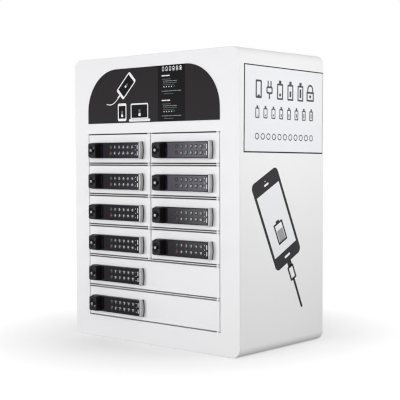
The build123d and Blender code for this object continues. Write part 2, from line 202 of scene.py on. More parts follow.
def loft(rings, closed=False):
    """Points and faces of a skin over rings of equal counts: a loop of them, or two ends."""
    count = len(rings[0])
    points = [point for one in rings for point in one]
    faces = []
    for near in range(len(rings) if closed else len(rings) - 1):
        far = (near + 1) % len(rings)
        for i in range(count):
            j = (i + 1) % count
            faces.append((near * count + i, near * count + j, far * count + j, far * count + i))
    if not closed:
        faces.append(tuple(range(count)))
        faces.append(tuple(range((len(rings) - 1) * count, len(rings) * count)))
    return points, faces


def soften(piece, angle=32.0):
    """Smooth shading up to an angle, with flat faces kept flat beside rounded edges."""
    piece.data.shade_smooth()
    piece.data.set_sharp_from_angle(angle=math.radians(angle))
    weighing = piece.modifiers.new("flat faces", "WEIGHTED_NORMAL")
    weighing.keep_sharp = True
    return piece


def cut(piece, cutters):
    """Cut other closed meshes out of a piece and remove them."""
    for cutter in cutters:
        saw = piece.modifiers.new("cut", "BOOLEAN")
        saw.operation = "DIFFERENCE"
        saw.solver = "EXACT"
        saw.object = cutter
    graph = bpy.context.evaluated_depsgraph_get()
    shaped = bpy.data.meshes.new_from_object(piece.evaluated_get(graph))
    piece.modifiers.clear()
    piece.data = shaped
    for cutter in cutters:
        bpy.data.objects.remove(cutter)
    return piece


def finish_piece(piece, body, slot, *nodes):
    """Fix a piece to a body and let it stand for CAD nodes, which are hidden. The slot, the name of its
    finish, is not used.
    """
    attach(piece, body)
    if nodes:
        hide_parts(*nodes)
    return piece


shell_low, shell_high = box_mm("case_shell")
front_y = box_mm("front_frame")[0].y
back_y = shell_high.y
side_x = shell_high.x
case_width = shell_high.x - shell_low.x
case_height = shell_high.z - shell_low.z
case_middle_z = (shell_high.z + shell_low.z) / 2


def case_ring(inset, y):
    """Outline of the case drawn inwards by inset at depth y."""
    width, height = case_width - 2 * inset, case_height - 2 * inset
    return ring(0, case_middle_z, width, height, CASE_CORNER - inset, y, CASE_STEPS)


seam_y = shell_low.y
flange_y = back_y - BACK_INSET - SHEET
shell_profile = [
    *quarter_round(0, seam_y, SHELL_EDGE, 2)[::-1],
    (0, back_y - SHELL_EDGE),
    (SHELL_EDGE, back_y),
    (SHEET, back_y),
    (SHEET, flange_y),
    (SHEET + REAR_FLANGE, flange_y),
    (SHEET + REAR_FLANGE, flange_y - SHEET),
    (SHEET, flange_y - SHEET),
    (SHEET, seam_y),
]
shell_rings = [case_ring(inset, y) for inset, y in shell_profile]
shell = new_piece("case_shell_wrap", *loft(shell_rings, closed=True), case_powder)


def circle(x, z, radius, count=24):
    """Flat outline of a circle round (x, z)."""
    around = [math.tau * i / count for i in range(count)]
    return [(x + radius * math.cos(a), z + radius * math.sin(a)) for a in around]


def bolt_drill(right, back):
    """A round cutter through the underside at one of the four bolt places."""
    x, y = right * BOLT_SPACING[0] / 2, back * BOLT_SPACING[1] / 2
    hole = circle(x, y, BOLT_RADIUS, 32)
    rings = [[(u, v, z) for u, v in hole] for z in (-SHEET, 2 * SHEET)]
    return new_piece("bolt drill", *loft(rings), case_powder)


cut(shell, [bolt_drill(right, back) for right in (-1, 1) for back in (-1, 1)])
soften(shell)
finish_piece(shell, "cabinet", "case_enamel", "case_shell")

# Front frame: a laser-cut plate with rounded outer edges that plugs into the shell with a
# folded rim. The door bay is one large opening in it, with small corner radii.

FRAME_PLATE = 2.0
FRAME_EDGE = 1.2
SEAM_EDGE = 0.6
RIM_GAP = 0.3
RIM_DEPTH = 14.0
BAY_CORNER = 0.4

wall_low, wall_high = box_mm("bay_walls")
bay_left = wall_low.x + SHEET
bay_right = wall_high.x - SHEET
bay_low = box_mm("bay_floor")[1].z
bay_high = box_mm("bay_roof")[0].z
bay_middle = (bay_left + bay_right) / 2
bay_middle_z = (bay_low + bay_high) / 2


def bay_ring(y):
    """The door bay's opening at depth y, with as many points as the case's outline."""
    width, height = bay_right - bay_left, bay_high - bay_low
    return ring(bay_middle, bay_middle_z, width, height, BAY_CORNER, y, CASE_STEPS)


plate_rear = front_y + FRAME_PLATE
rim_rear = plate_rear + RIM_DEPTH
rim_inset = SHEET + RIM_GAP
frame_rings = [case_ring(SEAM_EDGE, plate_rear), case_ring(0, plate_rear - SEAM_EDGE)]
frame_rings += [case_ring(inset, y) for inset, y in quarter_round(0, front_y, FRAME_EDGE)]
frame_rings += [bay_ring(front_y), bay_ring(plate_rear)]
frame_rings += [case_ring(rim_inset + SHEET, plate_rear), case_ring(rim_inset + SHEET, rim_rear)]
frame_rings += [case_ring(rim_inset, rim_rear), case_ring(rim_inset, plate_rear)]
front_frame = new_piece("front_frame_plate", *loft(frame_rings, closed=True), case_powder)
soften(front_frame)
finish_piece(front_frame, "cabinet", "case_enamel", "front_frame")

# Sheets inside: bay walls, dividers, strike plates, roof, shelves, floor and charging wall
# are folded or plain 1.5 mm steel with a thinner coat of the powder, a little duller and
# warmer. The back panel closes the case.

bay_powder = powder_coat("white_powder_coat_inside", "E4E4E1", "E9E9E6")

def finish_nodes(material, *names):
    """Give CAD nodes whose shape is right their finish."""
    for name in names:
        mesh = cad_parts[name].data
        if not mesh.materials:
            mesh.materials.append(material)
        for index in range(len(mesh.materials)):
            mesh.materials[index] = material


shelves = [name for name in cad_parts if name.startswith("shelf_")]
finish_nodes(
    bay_powder, "bay_walls", "column_dividers", "strike_plates", "bay_roof", "bay_floor",
    "charging_wall", *shelves,
)
finish_nodes(case_powder, "back_panel")

# Doors: ten folded steel pans that lie flush in the front frame, four small ones in each
# column and two wide ones under them. They are powder-coated with the case.

door_powder = powder_coat("white_powder_coat_doors", "F0F0F1", "F3F3F4")
doors = [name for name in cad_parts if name.startswith("door_")]
finish_nodes(door_powder, *doors)

# Screws: zinc-plated steel pan heads with a cross recess, bright blue-white, holding the
# back panel, the inlet, the charging modules and the power unit's feet.

zinc_plate = surface(
    "bright_zinc_plated_steel", "C9CACB", 0.3, grain=0.6, relief=0.01, spread=(0.24, 0.4),
    tones=("BFC1C4", "D2D2D0"), patch=4.0, metallic=1.0,
)

PANEL_SCREW = {"Head Radius": 3.8, "Head Height": 2.0}
SMALL_SCREW = {"Head Radius": 2.6, "Head Height": 0.9}
SIDE_SCREW_PITCH, END_SCREW_ASIDE = 180.0, 110.0
INLET_SCREW_ASIDE = 20.0
FOOT_SCREW_ASIDE, FOOT_SCREW_ALONG, FOOT_THICKNESS = 122.0, 18.0, 2.0


def new_tree(name, inputs):
    """A geometry tree with named inputs, and the nodes at its two ends."""
    tree = bpy.data.node_groups.new(name, "GeometryNodeTree")
    tree.interface.new_socket(name="Geometry", in_out="OUTPUT", socket_type="NodeSocketGeometry")
    for label, kind in inputs.items():
        tree.interface.new_socket(name=label, in_out="INPUT", socket_type=kind)
    return tree, add_node(tree, "NodeGroupInput", {}).outputs, add_node(tree, "NodeGroupOutput", {})


def end_tree(tree, ends, geometry, material):
    """Realise the copies, give them their material and send them out."""
    real = add_node(tree, "GeometryNodeRealizeInstances", {}, {"Geometry": geometry})
    painted = add_node(
        tree,
        "GeometryNodeSetMaterial",
        {},
        {"Geometry": real.outputs["Geometry"], "Material": material},
    )
    tree.links.new(painted.outputs["Geometry"], ends.inputs["Geometry"])


def grow(name, tree, points, values):
    """Run a geometry tree on points in metres and keep the result as a plain mesh."""
    seed_mesh = bpy.data.meshes.new(name)
    seed_mesh.from_pydata(points, [], [])
    piece = bpy.data.objects.new(name, seed_mesh)
    bpy.context.collection.objects.link(piece)
    growth = piece.modifiers.new("growth", "NODES")
    growth.node_group = tree
    for item in tree.interface.items_tree:
        if item.in_out == "INPUT" and item.name in values:
            growth[item.identifier] = values[item.name]
    graph = bpy.context.evaluated_depsgraph_get()
    grown = bpy.data.meshes.new_from_object(piece.evaluated_get(graph))
    piece.modifiers.clear()
    piece.data = grown
    tidy_mesh(grown)
    return piece


screw_tree, wanted, ends = new_tree("cross recess screws", {
    "Points": "NodeSocketGeometry",
    "Head Radius": "NodeSocketFloat",
    "Head Height": "NodeSocketFloat",
    "Facing": "NodeSocketVector",
    "Finish": "NodeSocketMaterial",
})
ball = add_node(
    screw_tree,
    "GeometryNodeMeshUVSphere",
    {"Segments": 24, "Rings": 14},
    {"Radius": wanted["Head Radius"]},
)
flatness = add_node(
    screw_tree,
    "ShaderNodeMath",
    {"operation": "DIVIDE"},
    {0: wanted["Head Height"], 1: wanted["Head Radius"]},
)
squash = add_node(screw_tree, "ShaderNodeCombineXYZ", {"X": 1.0, "Y": 1.0}, {"Z": flatness.outputs[0]})
head = add_node(
    screw_tree,
    "GeometryNodeTransform",
    {},
    {"Geometry": ball.outputs["Mesh"], "Scale": squash.outputs["Vector"]},
)


def block(tree, x, y, z, rise):
    """A block of the given sizes, centred on a height above the origin."""
    size = add_node(tree, "ShaderNodeCombineXYZ", {}, {"X": x, "Y": y, "Z": z})
    solid = add_node(tree, "GeometryNodeMeshCube", {}, {"Size": size.outputs["Vector"]})
    offset = add_node(tree, "ShaderNodeCombineXYZ", {}, {"Z": rise})
    moved = add_node(
        tree,
        "GeometryNodeTransform",
        {},
        {"Geometry": solid.outputs["Mesh"], "Translation": offset.outputs["Vector"]},
    )
    return moved.outputs["Geometry"]


radius, rise = wanted["Head Radius"], wanted["Head Height"]
shares = ((radius, 4.0), (radius, -2.0), (radius, 1.15), (radius, 0.24), (rise, 1.1))
wide, below, slot_length, slot_width, cross_depth = (
    add_node(screw_tree, "ShaderNodeMath", {"operation": "MULTIPLY", 1: part}, {0: size}).outputs[0]
    for size, part in shares
)
cutting = [
    block(screw_tree, wide, wide, wide, below),
    block(screw_tree, slot_length, slot_width, cross_depth, rise),
    block(screw_tree, slot_width, slot_length, cross_depth, rise),
]
screw = add_node(
    screw_tree,
    "GeometryNodeMeshBoolean",
    {"operation": "DIFFERENCE", "solver": "EXACT"},
    {"Mesh 1": head.outputs["Geometry"]},
)
for cutter in cutting:
    screw_tree.links.new(cutter, screw.inputs["Mesh 2"])
screws = add_node(
    screw_tree,
    "GeometryNodeInstanceOnPoints",
    {},
    {
        "Points": wanted["Points"],
        "Instance": screw.outputs["Mesh"],
        "Rotation": wanted["Facing"],
    },
)
end_tree(screw_tree, ends, screws.outputs["Instances"], wanted["Finish"])


def drive_screws(name, kind, places, facing, slot):
    """One mesh of like screws, their heads on the places given in mm and facing one way."""
    values = {key: size / 1000 for key, size in kind.items()}
    values.update({"Facing": facing, "Finish": zinc_plate})
    piece = grow(name, screw_tree, [Vector(place) / 1000 for place in places], values)
    finish_piece(soften(piece, 40.0), "cabinet", slot)


TO_BACK = (math.radians(-90), 0.0, 0.0)
TO_FRONT = (math.radians(90), 0.0, 0.0)
UPWARDS = (0.0, 0.0, 0.0)

back_face = box_mm("back_panel")[1].y
screw_inset = SHEET + REAR_FLANGE / 2
side_screws = [
    (right * (case_width / 2 - screw_inset), back_face, case_middle_z + step * SIDE_SCREW_PITCH)
    for right in (-1, 1)
    for step in (-1, 0, 1)
]
end_screws = [
    (right * END_SCREW_ASIDE, back_face, case_middle_z + up * (case_height / 2 - screw_inset))
    for right in (-1, 1)
    for up in (-1, 1)
]
drive_screws("back_panel_screws", PANEL_SCREW, side_screws + end_screws, TO_BACK, "pin_steel")

inlet_low, inlet_high = box_mm("power_inlet")
inlet_x = (inlet_low.x + inlet_high.x) / 2
inlet_z = (inlet_low.z + inlet_high.z) / 2
inlet_screws = [(inlet_x + side * INLET_SCREW_ASIDE, inlet_high.y, inlet_z) for side in (-1, 1)]
drive_screws("inlet_screws", SMALL_SCREW, inlet_screws, TO_BACK, "pin_steel")

power_low, power_high = box_mm("power_unit")
power_x, power_y = (power_low.x + power_high.x) / 2, (power_low.y + power_high.y) / 2
foot_top = power_low.z + FOOT_THICKNESS
foot_screws = [
    (power_x + side * FOOT_SCREW_ASIDE, power_y + along * FOOT_SCREW_ALONG, foot_top)
    for side in (-1, 1)
    for along in (-1, 1)
]
drive_screws("power_unit_screws", SMALL_SCREW, foot_screws, UPWARDS, "pin_steel")

# Pins and washers of the doors: bright steel pins pressed through the sheets, and natural
# nylon washers that carry each door, milky white and slightly waxy.

nylon = surface(
    "natural_nylon_washer", "E8E7E3", 0.45, grain=0.8, relief=0.01, spread=(0.4, 0.5),
    IOR=1.53, Subsurface_Weight=0.15, Subsurface_Scale=0.002,
)
finish_nodes(zinc_plate, "pivot_pins")
finish_nodes(nylon, "pivot_washers")

# Charging modules: black moulded ABS with a fine spark-eroded grain, clipped in the charging
# wall. Each port has a thin tongue in its mouth, with nickel-plated contacts, warm and bright.

module_black = surface(
    "black_moulded_abs_module", "1C1C1E", 0.5, grain=0.7, relief=0.03, spread=(0.45, 0.6),
    tones=("1A1A1C", "202022"), patch=12.0, IOR=1.53,
)
finish_nodes(module_black, "charging_modules", "power_inlet")
contact_metal = surface(
    "nickel_plated_contacts", "CDC7B8", 0.25, grain=0.3, relief=0.004, spread=(0.2, 0.32),
    metallic=1.0,
)

TONGUE = (9.6, 1.4, 9.0)
PORT_DEPTH = 14.0
CONTACT = (0.9, 0.12, 6.0)
CONTACT_PITCH, CONTACT_SETBACK = 2.1, 0.8
MODULE_SCREW_ASIDE = 18.6

module_front = box_mm("charging_modules")[0].y
places = [name.removeprefix("door_") for name in doors]
door_boxes = {place: box_mm(f"door_{place}") for place in places}


def bar(x, y, z, width, height, length):
    """A bar that runs back from depth y, slightly narrower at its front end."""
    nose = min(width, height) / 4
    return loft([
        ring(x, z, width - nose, height - nose, nose / 4, y, 2),
        ring(x, z, width, height, nose / 2, y + nose, 2),
        ring(x, z, width, height, nose / 2, y + length, 2),
    ])


def join(shapes):
    """Points and faces of several shapes as one."""
    points, faces = [], []
    for more_points, more_faces in shapes:
        faces += [tuple(index + len(points) for index in face) for face in more_faces]
        points += more_points
    return points, faces


divider_low, divider_high = box_mm("column_dividers")
spaces = {
    "left": (bay_left, divider_low.x),
    "right": (divider_high.x, bay_right),
    "wide": (bay_left, bay_right),
}
tongues, contacts, module_screws = [], [], []
for place in places:
    left, right = spaces[place.split("_")[0]]
    port_x = (left + right) / 2
    port_z = (door_boxes[place][0].z + door_boxes[place][1].z) / 2
    tongue_front = module_front + PORT_DEPTH - TONGUE[2]
    tongues.append(bar(port_x, tongue_front, port_z, *TONGUE))
    for step in (-1.5, -0.5, 0.5, 1.5):
        x = port_x + step * CONTACT_PITCH
        z = port_z + (TONGUE[1] + CONTACT[1]) / 2
        contacts.append(bar(x, tongue_front + CONTACT_SETBACK, z, *CONTACT))
    for side in (-1, 1):
        module_screws.append((port_x + side * MODULE_SCREW_ASIDE, module_front, port_z))
port_tongues = new_piece("port_tongues", *join(tongues), module_black)
finish_piece(soften(port_tongues), "cabinet", "module_plastic")
port_contacts = new_piece("port_contacts", *join(contacts), contact_metal)
finish_piece(soften(port_contacts), "cabinet", "pin_steel")
drive_screws("module_screws", SMALL_SCREW, module_screws, TO_FRONT, "pin_steel")

# Mains inlet: the same black plastic, with three nickel-plated brass blades in its mouth.
# The power unit is a grey anodised aluminium extrusion with fine lines along its length.

BLADE = (2.2, 4.2, 12.1)
BLADE_CORNER, TIP_CORNER = 0.3, 0.2
TIP_LENGTH, TIP_TAPER = 1.0, 0.8
BLADE_SUNK = 20.0
BLADE_PLACES = ((0.0, 2.0), (-7.0, -2.0), (7.0, -2.0))
DRAWN_LINE, DRAWN_STRETCH, DRAWN_RELIEF = 0.8, 0.02, 0.01


def blade(x, z):
    """One inlet blade, from the bottom of the mouth towards the back, with a chamfered tip."""
    width, height, length = BLADE
    front = inlet_high.y - BLADE_SUNK
    return loft([
        ring(x, z, width, height, BLADE_CORNER, front, 2),
        ring(x, z, width, height, BLADE_CORNER, front + length - TIP_LENGTH, 2),
        ring(x, z, width - TIP_TAPER, height - TIP_TAPER, TIP_CORNER, front + length, 2),
    ])


blades = [blade(inlet_x + aside, inlet_z + up) for aside, up in BLADE_PLACES]
finish_piece(soften(new_piece("inlet_blades", *join(blades), contact_metal)), "cabinet", "pin_steel")

grey_anodised, tree, shader = start_material("grey_anodised_aluminium", "8D8F92", 0.4, metallic=1.0)
place = add_node(tree, "ShaderNodeTexCoord", {})
drawn = add_node(
    tree,
    "ShaderNodeMapping",
    {"Scale": (1.0, DRAWN_STRETCH, 1.0)},
    {"Vector": place.outputs["Object"]},
)
lines = add_node(
    tree, "ShaderNodeTexNoise", {"Scale": 1000 / DRAWN_LINE}, {"Vector": drawn.outputs["Vector"]}
)
spread = add_node(
    tree, "ShaderNodeMapRange", {"To Min": 0.34, "To Max": 0.5}, {"Value": lines.outputs["Fac"]}
)
relief = add_node(
    tree, "ShaderNodeBump", {"Distance": DRAWN_RELIEF / 1000}, {"Height": lines.outputs["Fac"]}
)
tree.links.new(spread.outputs["Result"], shader.inputs["Roughness"])
tree.links.new(relief.outputs["Normal"], shader.inputs["Normal"])
finish_nodes(grey_anodised, "power_unit")

# Printed panel: a 1 mm sheet with a satin black print and two large upper corners, bonded
# over the doors. It carries plain device signs in white, and a strip of blacker film whose
# slight gloss sets it off, with short lines on it.

panel_black = surface(
    "satin_black_printed_sheet", "1D191B", 0.42, grain=1.2, relief=0.006, spread=(0.4, 0.5),
    tones=("1B1719", "1F1B1D"), patch=90.0, IOR=1.5, Specular_IOR_Level=0.08,
)
strip_black = surface(
    "black_strip_film", "060507", 0.36, grain=1.2, relief=0.005, spread=(0.34, 0.46),
    tones=("050406", "080709"), patch=60.0, IOR=1.5, Specular_IOR_Level=0.05,
)


def ink(name, code, patch=3.0):
    """Screen-printing ink: matt, very slightly uneven in its cover."""
    faint = "".join(f"{max(int(code[i:i + 2], 16) - 6, 0):02X}" for i in (0, 2, 4))
    return surface(
        name, code, 0.55, grain=0.5, relief=0.004, spread=(0.5, 0.62), tones=(faint, code),
        patch=patch, IOR=1.5, Specular_IOR_Level=0.2,
    )


white_ink = ink("white_screen_ink", "F8F8F8")
pale_ink = ink("light_grey_screen_ink", "949395")
dim_ink = ink("dark_grey_screen_ink", "636266")
tick_ink = ink("bright_green_screen_ink", "278A3E")

PANEL_CORNER, PANEL_STEPS = 92.0, 32
PANEL_EDGE = 0.3
PRINT = 0.03


def turned(points, angle, x=0.0, z=0.0):
    """Flat points turned by degrees about the origin, then moved."""
    a = math.radians(angle)
    return [
        (x + u * math.cos(a) - v * math.sin(a), z + u * math.sin(a) + v * math.cos(a))
        for u, v in points
    ]


def rounded(x, z, width, height, radius, steps=6):
    """Flat outline of a rounded rectangle round (x, z)."""
    return [(u, v) for u, _, v in ring(x, z, width, height, radius, 0, steps)]


def hollow(x, z, width, height, radius, stroke, steps=6):
    """A frame of even stroke: its outline and the hole in it."""
    inside = rounded(
        x, z, width - 2 * stroke, height - 2 * stroke, max(radius - stroke, 0.2), steps
    )
    return [rounded(x, z, width, height, radius, steps), inside[::-1]]


def flat_solid(shapes, lay, low, high):
    """Points and faces of thin flat shapes; each shape is an outline and any holes in it."""
    points, faces = [], []
    for outlines in shapes:
        first = len(points)
        flat = [point for outline in outlines for point in outline]
        count = len(flat)
        points += [lay(u, v, high) for u, v in flat]
        points += [lay(u, v, low) for u, v in flat]
        loops = [[Vector((u, v, 0)) for u, v in outline] for outline in outlines]
        for triangle in tessellate_polygon(loops):
            faces.append(tuple(first + i for i in triangle))
            faces.append(tuple(first + count + i for i in reversed(triangle)))
        start = first
        for outline in outlines:
            for i in range(len(outline)):
                j = (i + 1) % len(outline)
                faces.append((start + i, start + j, start + count + j, start + count + i))
            start += len(outline)
    return points, faces


panel_low, panel_high = box_mm("graphic_panel")
panel_face = panel_low.y


def arch(inset):
    """Outline of the printed panel drawn inwards by inset, its upper corners rounded."""
    left, right = panel_low.x + inset, panel_high.x - inset
    low, high = panel_low.z + inset, panel_high.z - inset
    radius = PANEL_CORNER - inset
    points = [(left, low), (right, low)]
    for corner, x in enumerate((right - radius, left + radius)):
        for step in range(PANEL_STEPS + 1):
            turn = math.radians(90 * (corner + step / PANEL_STEPS))
            points.append((x + radius * math.cos(turn), high - radius + radius * math.sin(turn)))
    return points


panel_rings = [
    [(u, y, v) for u, v in arch(inset)]
    for inset, y in [(0, panel_high.y), *quarter_round(0, panel_face, PANEL_EDGE, 3)]
]
panel = new_piece("printed_panel", *loft(panel_rings), panel_black)
finish_piece(soften(panel), "cabinet", "printed_panel", "graphic_panel")


def on_panel(u, v, level):
    """A point of a print on the panel, level film thicknesses over its face."""
    return u, panel_face - level * PRINT, v


def print_on_panel(name, shapes, material, level):
    """A print on the panel; what is printed over it gets a higher level."""
    piece = new_piece(name, *flat_solid(shapes, on_panel, level - 1, level), material)
    finish_piece(piece, "cabinet", "printed_panel")


STRIP_LEFT, STRIP_RIGHT, STRIP_MARGIN, STRIP_CORNER = 21.0, 98.5, 0.4, 0.2

strip_width, strip_height = STRIP_RIGHT - STRIP_LEFT, panel_high.z - panel_low.z - 2 * STRIP_MARGIN
strip_z = panel_low.z + STRIP_MARGIN + strip_height / 2
strip = rounded((STRIP_RIGHT + STRIP_LEFT) / 2, strip_z, strip_width, strip_height, STRIP_CORNER)
print_on_panel("panel_strip", [[strip]], strip_black, 1)

# Each sign's width, height, corner radius, and border at its ends and at its sides
TABLET = (29.2, 56.7, 4.5, 6.0, 2.4)
PHONE = (26.4, 38.4, 4.0, 5.4, 2.6)
LAPTOP = (52.5, 34.0, 3.5, 3.0, 2.4)
SCREEN_CORNER = 0.8
TABLET_TURN, TABLET_PLACE = -45.3, (-74.0, 556.1)
PHONE_PLACE = (-87.1, 499.2)
LAPTOP_PLACE = (-34.2, 500.0)
LAPTOP_BASE = (-34.0, 481.0, 64.0, 5.6, 2.6)
LEAD_PLUG, LEAD_PLUG_WIDTH = ((-93.2, 536.8), (-100.2, 529.6)), 3.6
LEAD_CURVE = ((-100.0, 529.8), (-107.0, 521.0), (-120.0, 512.5), (-135.4, 518.3))
LEAD_STROKE = 1.7
# Place from the battery's middle, width, height and corner radius of its two parts
CHARGED_PART, EMPTY_PART = (0, -3.4, 5.6, 5.4, 0.6), (0, 3.6, 5.6, 6.8, 1.0)
# Turn, place and scale of the battery on each screen
SCREEN_BATTERIES = (
    (TABLET_TURN, *TABLET_PLACE, 0.8),
    (0, PHONE_PLACE[0], PHONE_PLACE[1] - 4.0, 1.0),
    (0, LAPTOP_PLACE[0] + 0.5, LAPTOP_PLACE[1] - 3.5, 1.1),
)


def device(width, height, radius, border_ends, border_sides, turn, x, z):
    """Frame and screen of a plain device sign, with a thick border at its two ends."""
    outer = turned(rounded(0, 0, width, height, radius), turn, x, z)
    screen_width, screen_height = width - 2 * border_sides, height - 2 * border_ends
    inner = turned(rounded(0, 0, screen_width, screen_height, SCREEN_CORNER), turn, x, z)
    return [outer, inner[::-1]], [inner]


def charge_part(part, turn, x, z, scale):
    """One part of a small battery sign, turned and moved to the middle of its screen."""
    across, up, width, height, radius = (value * scale for value in part)
    return [turned(rounded(across, up, width, height, radius), turn, x, z)]


def ribbon(points, width):
    """Flat outline of a line of even width along points, with square ends."""
    left, right = [], []
    for i, (u, v) in enumerate(points):
        before, after = points[max(i - 1, 0)], points[min(i + 1, len(points) - 1)]
        along = Vector((after[0] - before[0], after[1] - before[1])).normalized()
        left.append((u - along.y * width / 2, v + along.x * width / 2))
        right.append((u + along.y * width / 2, v - along.x * width / 2))
    return left + right[::-1]


def bend(start, pull_start, pull_end, end, count=20):
    """Points along one smooth curve with two handles."""
    points = []
    for step in range(count + 1):
        t = step / count
        weights = ((1 - t) ** 3, 3 * t * (1 - t) ** 2, 3 * t * t * (1 - t), t ** 3)
        ends = (start, pull_start, pull_end, end)
        points.append(tuple(sum(w * p[axis] for w, p in zip(weights, ends)) for axis in (0, 1)))
    return points


tablet_frame, tablet_screen = device(*TABLET, TABLET_TURN, *TABLET_PLACE)
phone_frame, phone_screen = device(*PHONE, 0, *PHONE_PLACE)
laptop_frame, laptop_screen = device(*LAPTOP, 0, *LAPTOP_PLACE)
laptop_base = rounded(*LAPTOP_BASE)
lead = [[ribbon(LEAD_PLUG, LEAD_PLUG_WIDTH)], [ribbon(bend(*LEAD_CURVE), LEAD_STROKE)]]
device_signs = [tablet_frame, phone_frame, laptop_frame, [laptop_base], *lead]
print_on_panel("panel_device_signs", device_signs, white_ink, 1)
print_on_panel("panel_sign_screens", [tablet_screen, phone_screen, laptop_screen], strip_black, 1)
charged = [charge_part(CHARGED_PART, *battery) for battery in SCREEN_BATTERIES]
print_on_panel("panel_sign_charges", charged, white_ink, 2)
empty = [charge_part(EMPTY_PART, *battery) for battery in SCREEN_BATTERIES]
print_on_panel("panel_sign_batteries", empty, dim_ink, 2)

STRIP_BATTERIES, FIRST_BATTERY, STRIP_BATTERY_PITCH = 6, (36.5, 585.4), 9.9
STRIP_BATTERY = (5.8, 8.4, 1.2, 0.9)
CHARGE_WIDTH, CHARGE_HEIGHT = 2.4, 4.8
TIP_RISE, TIP_HEIGHT = 4.7, 1.4
# Height of each block of lines, and the lengths of the bars in its heading
STRIP_BLOCKS = ((571.6, (10.0, 12.0)), (520.0, (13.0, 10.0)))
# Left end, drop below the heading and height of each line, and its bars' lengths
HEADING = (32.0, 0.0, 2.3)
DIM_LINES = (
    (33.5, 7.4, 1.4, (9.0, 6.0, 7.5)),
    (35.8, 15.2, 1.4, (12.0, 4.0, 9.5, 11.0)),
    (35.8, 19.0, 1.0, (7.0, 14.0, 8.5)),
    (38.2, 37.6, 1.2, (12.0, 8.0, 5.0)),
)
PALE_LINES = (
    (35.8, 11.3, 1.2, (5.0, 11.0, 8.0, 12.5)),
    (32.2, 32.2, 1.3, (4.0, 15.0, 9.0, 12.0, 11.0)),
)
BAR_GAP = 1.0
STRIP_DOTS, FIRST_DOT, DOT_PITCH, DOT_DROP, DOT_RADIUS = 4, 38.6, 7.2, 23.2, 1.3


def charge_sign(x, z, charge):
    """A small battery outline with its tip, filled up to its charge."""
    level_z = z - CHARGE_HEIGHT / 2 * (1 - charge)
    level = [rounded(x, level_z, CHARGE_WIDTH, CHARGE_HEIGHT * charge, 0.2, 2)]
    tip = [rounded(x, z + TIP_RISE, CHARGE_WIDTH, TIP_HEIGHT, 0.4, 2)]
    return [hollow(x, z, *STRIP_BATTERY, 3), tip, level]


def line_of_bars(top, left, drop, height, lengths):
    """A row of plain bars with gaps, a drop below the top of its block."""
    shapes = []
    for length in lengths:
        shapes.append([rounded(left + length / 2, top - drop, length, height, height / 4, 2)])
        left += length + BAR_GAP
    return shapes


strip_white, strip_pale, strip_dim = [], [], []
for step in range(STRIP_BATTERIES):
    x, z = FIRST_BATTERY[0] + STRIP_BATTERY_PITCH * step, FIRST_BATTERY[1]
    strip_white += charge_sign(x, z, (step + 0.5) / STRIP_BATTERIES)
for top, heading in STRIP_BLOCKS:
    strip_white += line_of_bars(top, *HEADING, heading)
    for step in range(STRIP_DOTS):
        strip_white.append([circle(FIRST_DOT + DOT_PITCH * step, top - DOT_DROP, DOT_RADIUS, 12)])
    for line in DIM_LINES:
        strip_dim += line_of_bars(top, *line)
    for line in PALE_LINES:
        strip_pale += line_of_bars(top, *line)
print_on_panel("strip_bars", strip_white, white_ink, 2)
print_on_panel("strip_pale_bars", strip_pale, pale_ink, 2)
print_on_panel("strip_dim_bars", strip_dim, dim_ink, 2)


def tick(x, z, size, stroke):
    """A tick mark round (x, z)."""
    points = [(-0.5, 0.0), (-0.12, -0.42), (0.55, 0.55)]
    return ribbon([(x + u * size, z + v * size) for u, v in points], stroke)


TICK_X, TICK_ROWS = 67.0, (548.4, 497.2)
TICK_SIZE, TICK_STROKE = 3.9, 1.4
ticks = [[tick(TICK_X, z, TICK_SIZE, TICK_STROKE)] for z in TICK_ROWS]
print_on_panel("strip_ticks", ticks, tick_ink, 2)

# Prints on the right-hand side: a white label in a thin dark frame with three rows of plain
# charging signs, and under it a large phone on its lead. All are cut vinyl film, a little
# cooler and glossier than the powder under them.

label_white = surface(
    "white_label_film", "EEEFF2", 0.3, grain=3.0, relief=0.004, spread=(0.3, 0.4),
    tones=("ECEDF1", "F0F1F3"), patch=140.0, IOR=1.49,
)
film_dark = ink("dark_grey_vinyl_film", "2B282B", 30.0)
film_grey = ink("mid_grey_vinyl_film", "A1A4A3", 30.0)
sign_grey = ink("slate_grey_vinyl_film", "4A4C50", 30.0)

SIDE_FILM = 0.03
# Turn of a print in degrees, and its middle: back from the case's front, and up from its foot
LABEL_TILT, PHONE_TILT = (-0.7, 149.5, 496.9), (25.6, 120.5, 273.0)
LABEL_WIDTH, LABEL_HEIGHT, LABEL_CORNER = 272.0, 176.0, 0.5
FRAME_LEFT, FRAME_RIGHT, FRAME_LOW, FRAME_TOP, FRAME_CORNER = 3.2, 1.2, 2.9, 2.3, 0.2


def on_side(u, v, level):
    """A point of a film on the case's right side: u runs back from the front face."""
    return side_x + level * SIDE_FILM, front_y + u, v


def film_on_side(name, shapes, tilt, material, level):
    """A film on the side, turned and moved as one; films over it get a higher level."""
    placed = [[turned(outline, *tilt) for outline in shape] for shape in shapes]
    piece = new_piece(name, *flat_solid(placed, on_side, level - 1, level), material)
    finish_piece(piece, "cabinet", "printed_panel")


label_edge = rounded(0, 0, LABEL_WIDTH, LABEL_HEIGHT, LABEL_CORNER, 2)
film_on_side("side_label", [[label_edge]], LABEL_TILT, label_white, 1)
frame_inside = rounded(
    (FRAME_LEFT - FRAME_RIGHT) / 2,
    (FRAME_LOW - FRAME_TOP) / 2,
    LABEL_WIDTH - FRAME_LEFT - FRAME_RIGHT,
    LABEL_HEIGHT - FRAME_LOW - FRAME_TOP,
    FRAME_CORNER,
    2,
)
film_on_side("side_label_frame", [[label_edge, frame_inside[::-1]]], LABEL_TILT, film_dark, 2)


